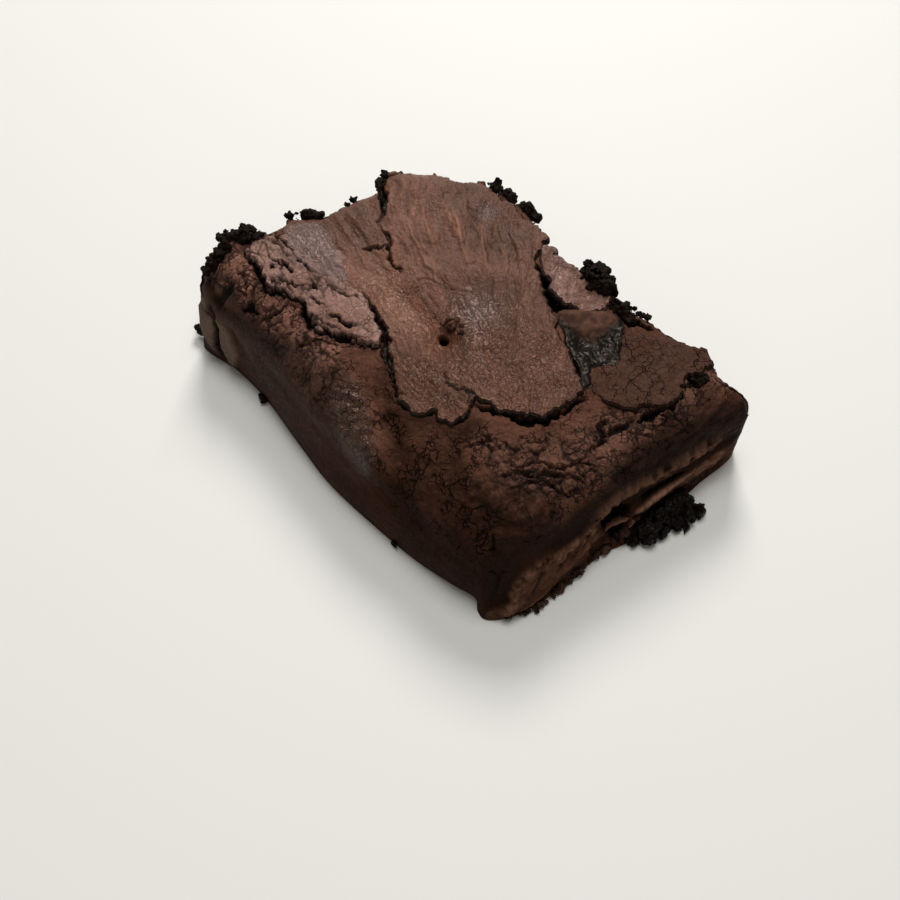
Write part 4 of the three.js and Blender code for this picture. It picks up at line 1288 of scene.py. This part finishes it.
# Crumb clusters: height, spread and largest radius in millimetres, how many, and the pixels they run along
CLUSTERS = [
    (22.2, 1.5, 1.2, 110, [(222, 248), (230, 240), (240, 236), (249, 238), (256, 240)]),
    (22.0, 0.9, 0.9, 34, [(206, 270), (212, 260), (220, 252)]),
    (24.0, 0.9, 0.9, 40, [(291, 217), (300, 215), (310, 215), (322, 216)]),
    (24.5, 0.4, 0.7, 7, [(343, 206), (350, 202), (356, 199)]),
    (24.5, 0.6, 0.8, 18, [(380, 212), (379, 196), (381, 182), (385, 174)]),
    (23.5, 0.9, 1.1, 34, [(490, 186), (504, 194), (514, 203)]),
    (23.5, 0.9, 1.1, 30, [(520, 208), (530, 213), (538, 220)]),
    (25.6, 1.5, 1.4, 84, [(586, 273), (593, 272), (601, 279), (608, 288)]),
    (24.4, 0.8, 0.9, 34, [(608, 300), (616, 308), (626, 316), (634, 322)]),
    (24.0, 0.5, 0.7, 16, [(626, 306), (636, 311), (646, 318)]),
    (25.0, 0.5, 0.6, 10, [(541, 248), (546, 250), (556, 255)]),
    (22.5, 0.9, 0.9, 30, [(686, 388), (697, 384), (706, 379)]),
    (22.4, 0.6, 0.7, 20, [(664, 410), (674, 404), (682, 396)]),
    (21.0, 0.8, 0.7, 24, [(596, 446), (604, 440), (612, 430)]),
    (1.6, 0.7, 0.8, 12, [(198, 327), (203, 333)]),
    (0.8, 0.5, 0.7, 8, [(260, 396), (266, 401)]),
    (0.8, 0.4, 0.6, 6, [(391, 543), (395, 547)]),
]
SHREDS = [
    (0.7, 0.5, 0.7, 40, [(504, 617), (540, 606), (569, 581), (598, 555), (612, 545)]),
    (2.0, 0.5, 0.8, 10, [(612, 540), (622, 536)]),
    (3.5, 0.5, 0.8, 10, [(622, 536), (630, 520)]),
    (5.5, 0.5, 0.8, 10, [(630, 520), (640, 506)]),
    (2.0, 0.4, 0.6, 24, [(680, 490), (704, 468), (724, 448)]),
]

# Single balls: the pixel, the height and the radius
NUB = [
    (443, 323, 25.8, 0.6), (449, 320, 25.8, 0.6), (456, 320, 25.8, 0.6), (461, 325, 25.8, 0.6),
    (461, 331, 25.8, 0.6), (452, 326, 25.6, 1.0),
]
LUMP = [
    (633, 538, 1.2, 1.6), (645, 530, 1.8, 2.4), (658, 520, 2.2, 2.8), (672, 510, 2.4, 2.9),
    (682, 500, 2.4, 2.0), (684, 512, 1.8, 2.2), (698, 511, 1.2, 1.3), (688, 530, 0.8, 0.9),
    (676, 522, 1.4, 1.8), (662, 531, 1.2, 1.5), (646, 516, 2.6, 2.4), (632, 526, 2.0, 2.2),
]


def set_down(balls):
    """Single balls as places, where the camera sees them."""
    return [(*spot(px, py, z), z, radius) for px, py, z, radius in balls]


crumbs("loose_crumbs", strewn(CLUSTERS), linear(30, 21, 17), 0.6, crumb_finish, 0.6, 3, 0.25)
crumbs("nub", set_down(NUB), linear(112, 72, 57), 0.45, crust_finish, 0.25, 4, 0.1)
crumbs("brown_shreds", strewn(SHREDS), linear(84, 59, 47), 0.6, crumb_finish, 0.7, 3, 0.3)
crumbs("fudge_lump", set_down(LUMP), linear(13, 9, 8), 0.42, fudge_finish, 0.4, 5, 0.5)

# The stage: a pale floor, soft light from the back left and a fill from the front
bpy.ops.mesh.primitive_plane_add(size=6, location=(0, 0, -0.0002))
floor = bpy.context.object
floor.name = "floor"
floor_finish = bpy.data.materials.new("pale_floor")
floor_finish.use_nodes = True
floor_shader = floor_finish.node_tree.nodes["Principled BSDF"]
floor_shader.inputs["Base Color"].default_value = (0.72, 0.715, 0.68, 1)
floor_shader.inputs["Roughness"].default_value = 0.6
floor.data.materials.append(floor_finish)

scene = bpy.context.scene
scene.view_settings.view_transform = "Standard"
scene.world = bpy.data.worlds.new("studio")
scene.world.use_nodes = True
background = scene.world.node_tree.nodes["Background"]
background.inputs["Color"].default_value = (1.0, 0.95, 0.87, 1)
background.inputs["Strength"].default_value = 0.1

# Lamps: the place and the size in metres, the power in watts, and the colour
LAMPS = {
    "window": ((-0.55, 0.62, 0.75), 0.35, 9.5, (1.0, 0.98, 0.95)),
    "ceiling": ((-0.1, 0.15, 1.2), 0.6, 8.0, (1.0, 1.0, 1.0)),
    "fill": ((0.7, -0.75, 0.7), 1.0, 1.6, (1.0, 0.94, 0.86)),
}
LAMP_TARGET = Vector((0, 0, 0.01))
for name, (at, size, power, tint) in LAMPS.items():
    light = bpy.data.lights.new(name, "AREA")
    light.size = size
    light.energy = power
    light.color = tint
    lamp = bpy.data.objects.new(name, light)
    lamp.location = at
    lamp.rotation_euler = (LAMP_TARGET - Vector(at)).to_track_quat("-Z", "Y").to_euler()
    bpy.context.collection.objects.link(lamp)

camera_data = bpy.data.cameras.new("camera")
camera_data.lens = CAMERA_LENS
camera_data.sensor_width = SENSOR
camera_data.clip_start = 0.01
camera = bpy.data.objects.new("camera", camera_data)
forward, up = Vector(CAMERA_FORWARD).normalized(), Vector(CAMERA_UP).normalized()
side = forward.cross(up).normalized()
turn = Matrix((side, side.cross(forward), -forward)).transposed().to_4x4()
camera.matrix_world = Matrix.Translation((EYE - (*MIDDLE, 0)) / 1000) @ turn
bpy.context.collection.objects.link(camera)
scene.camera = camera
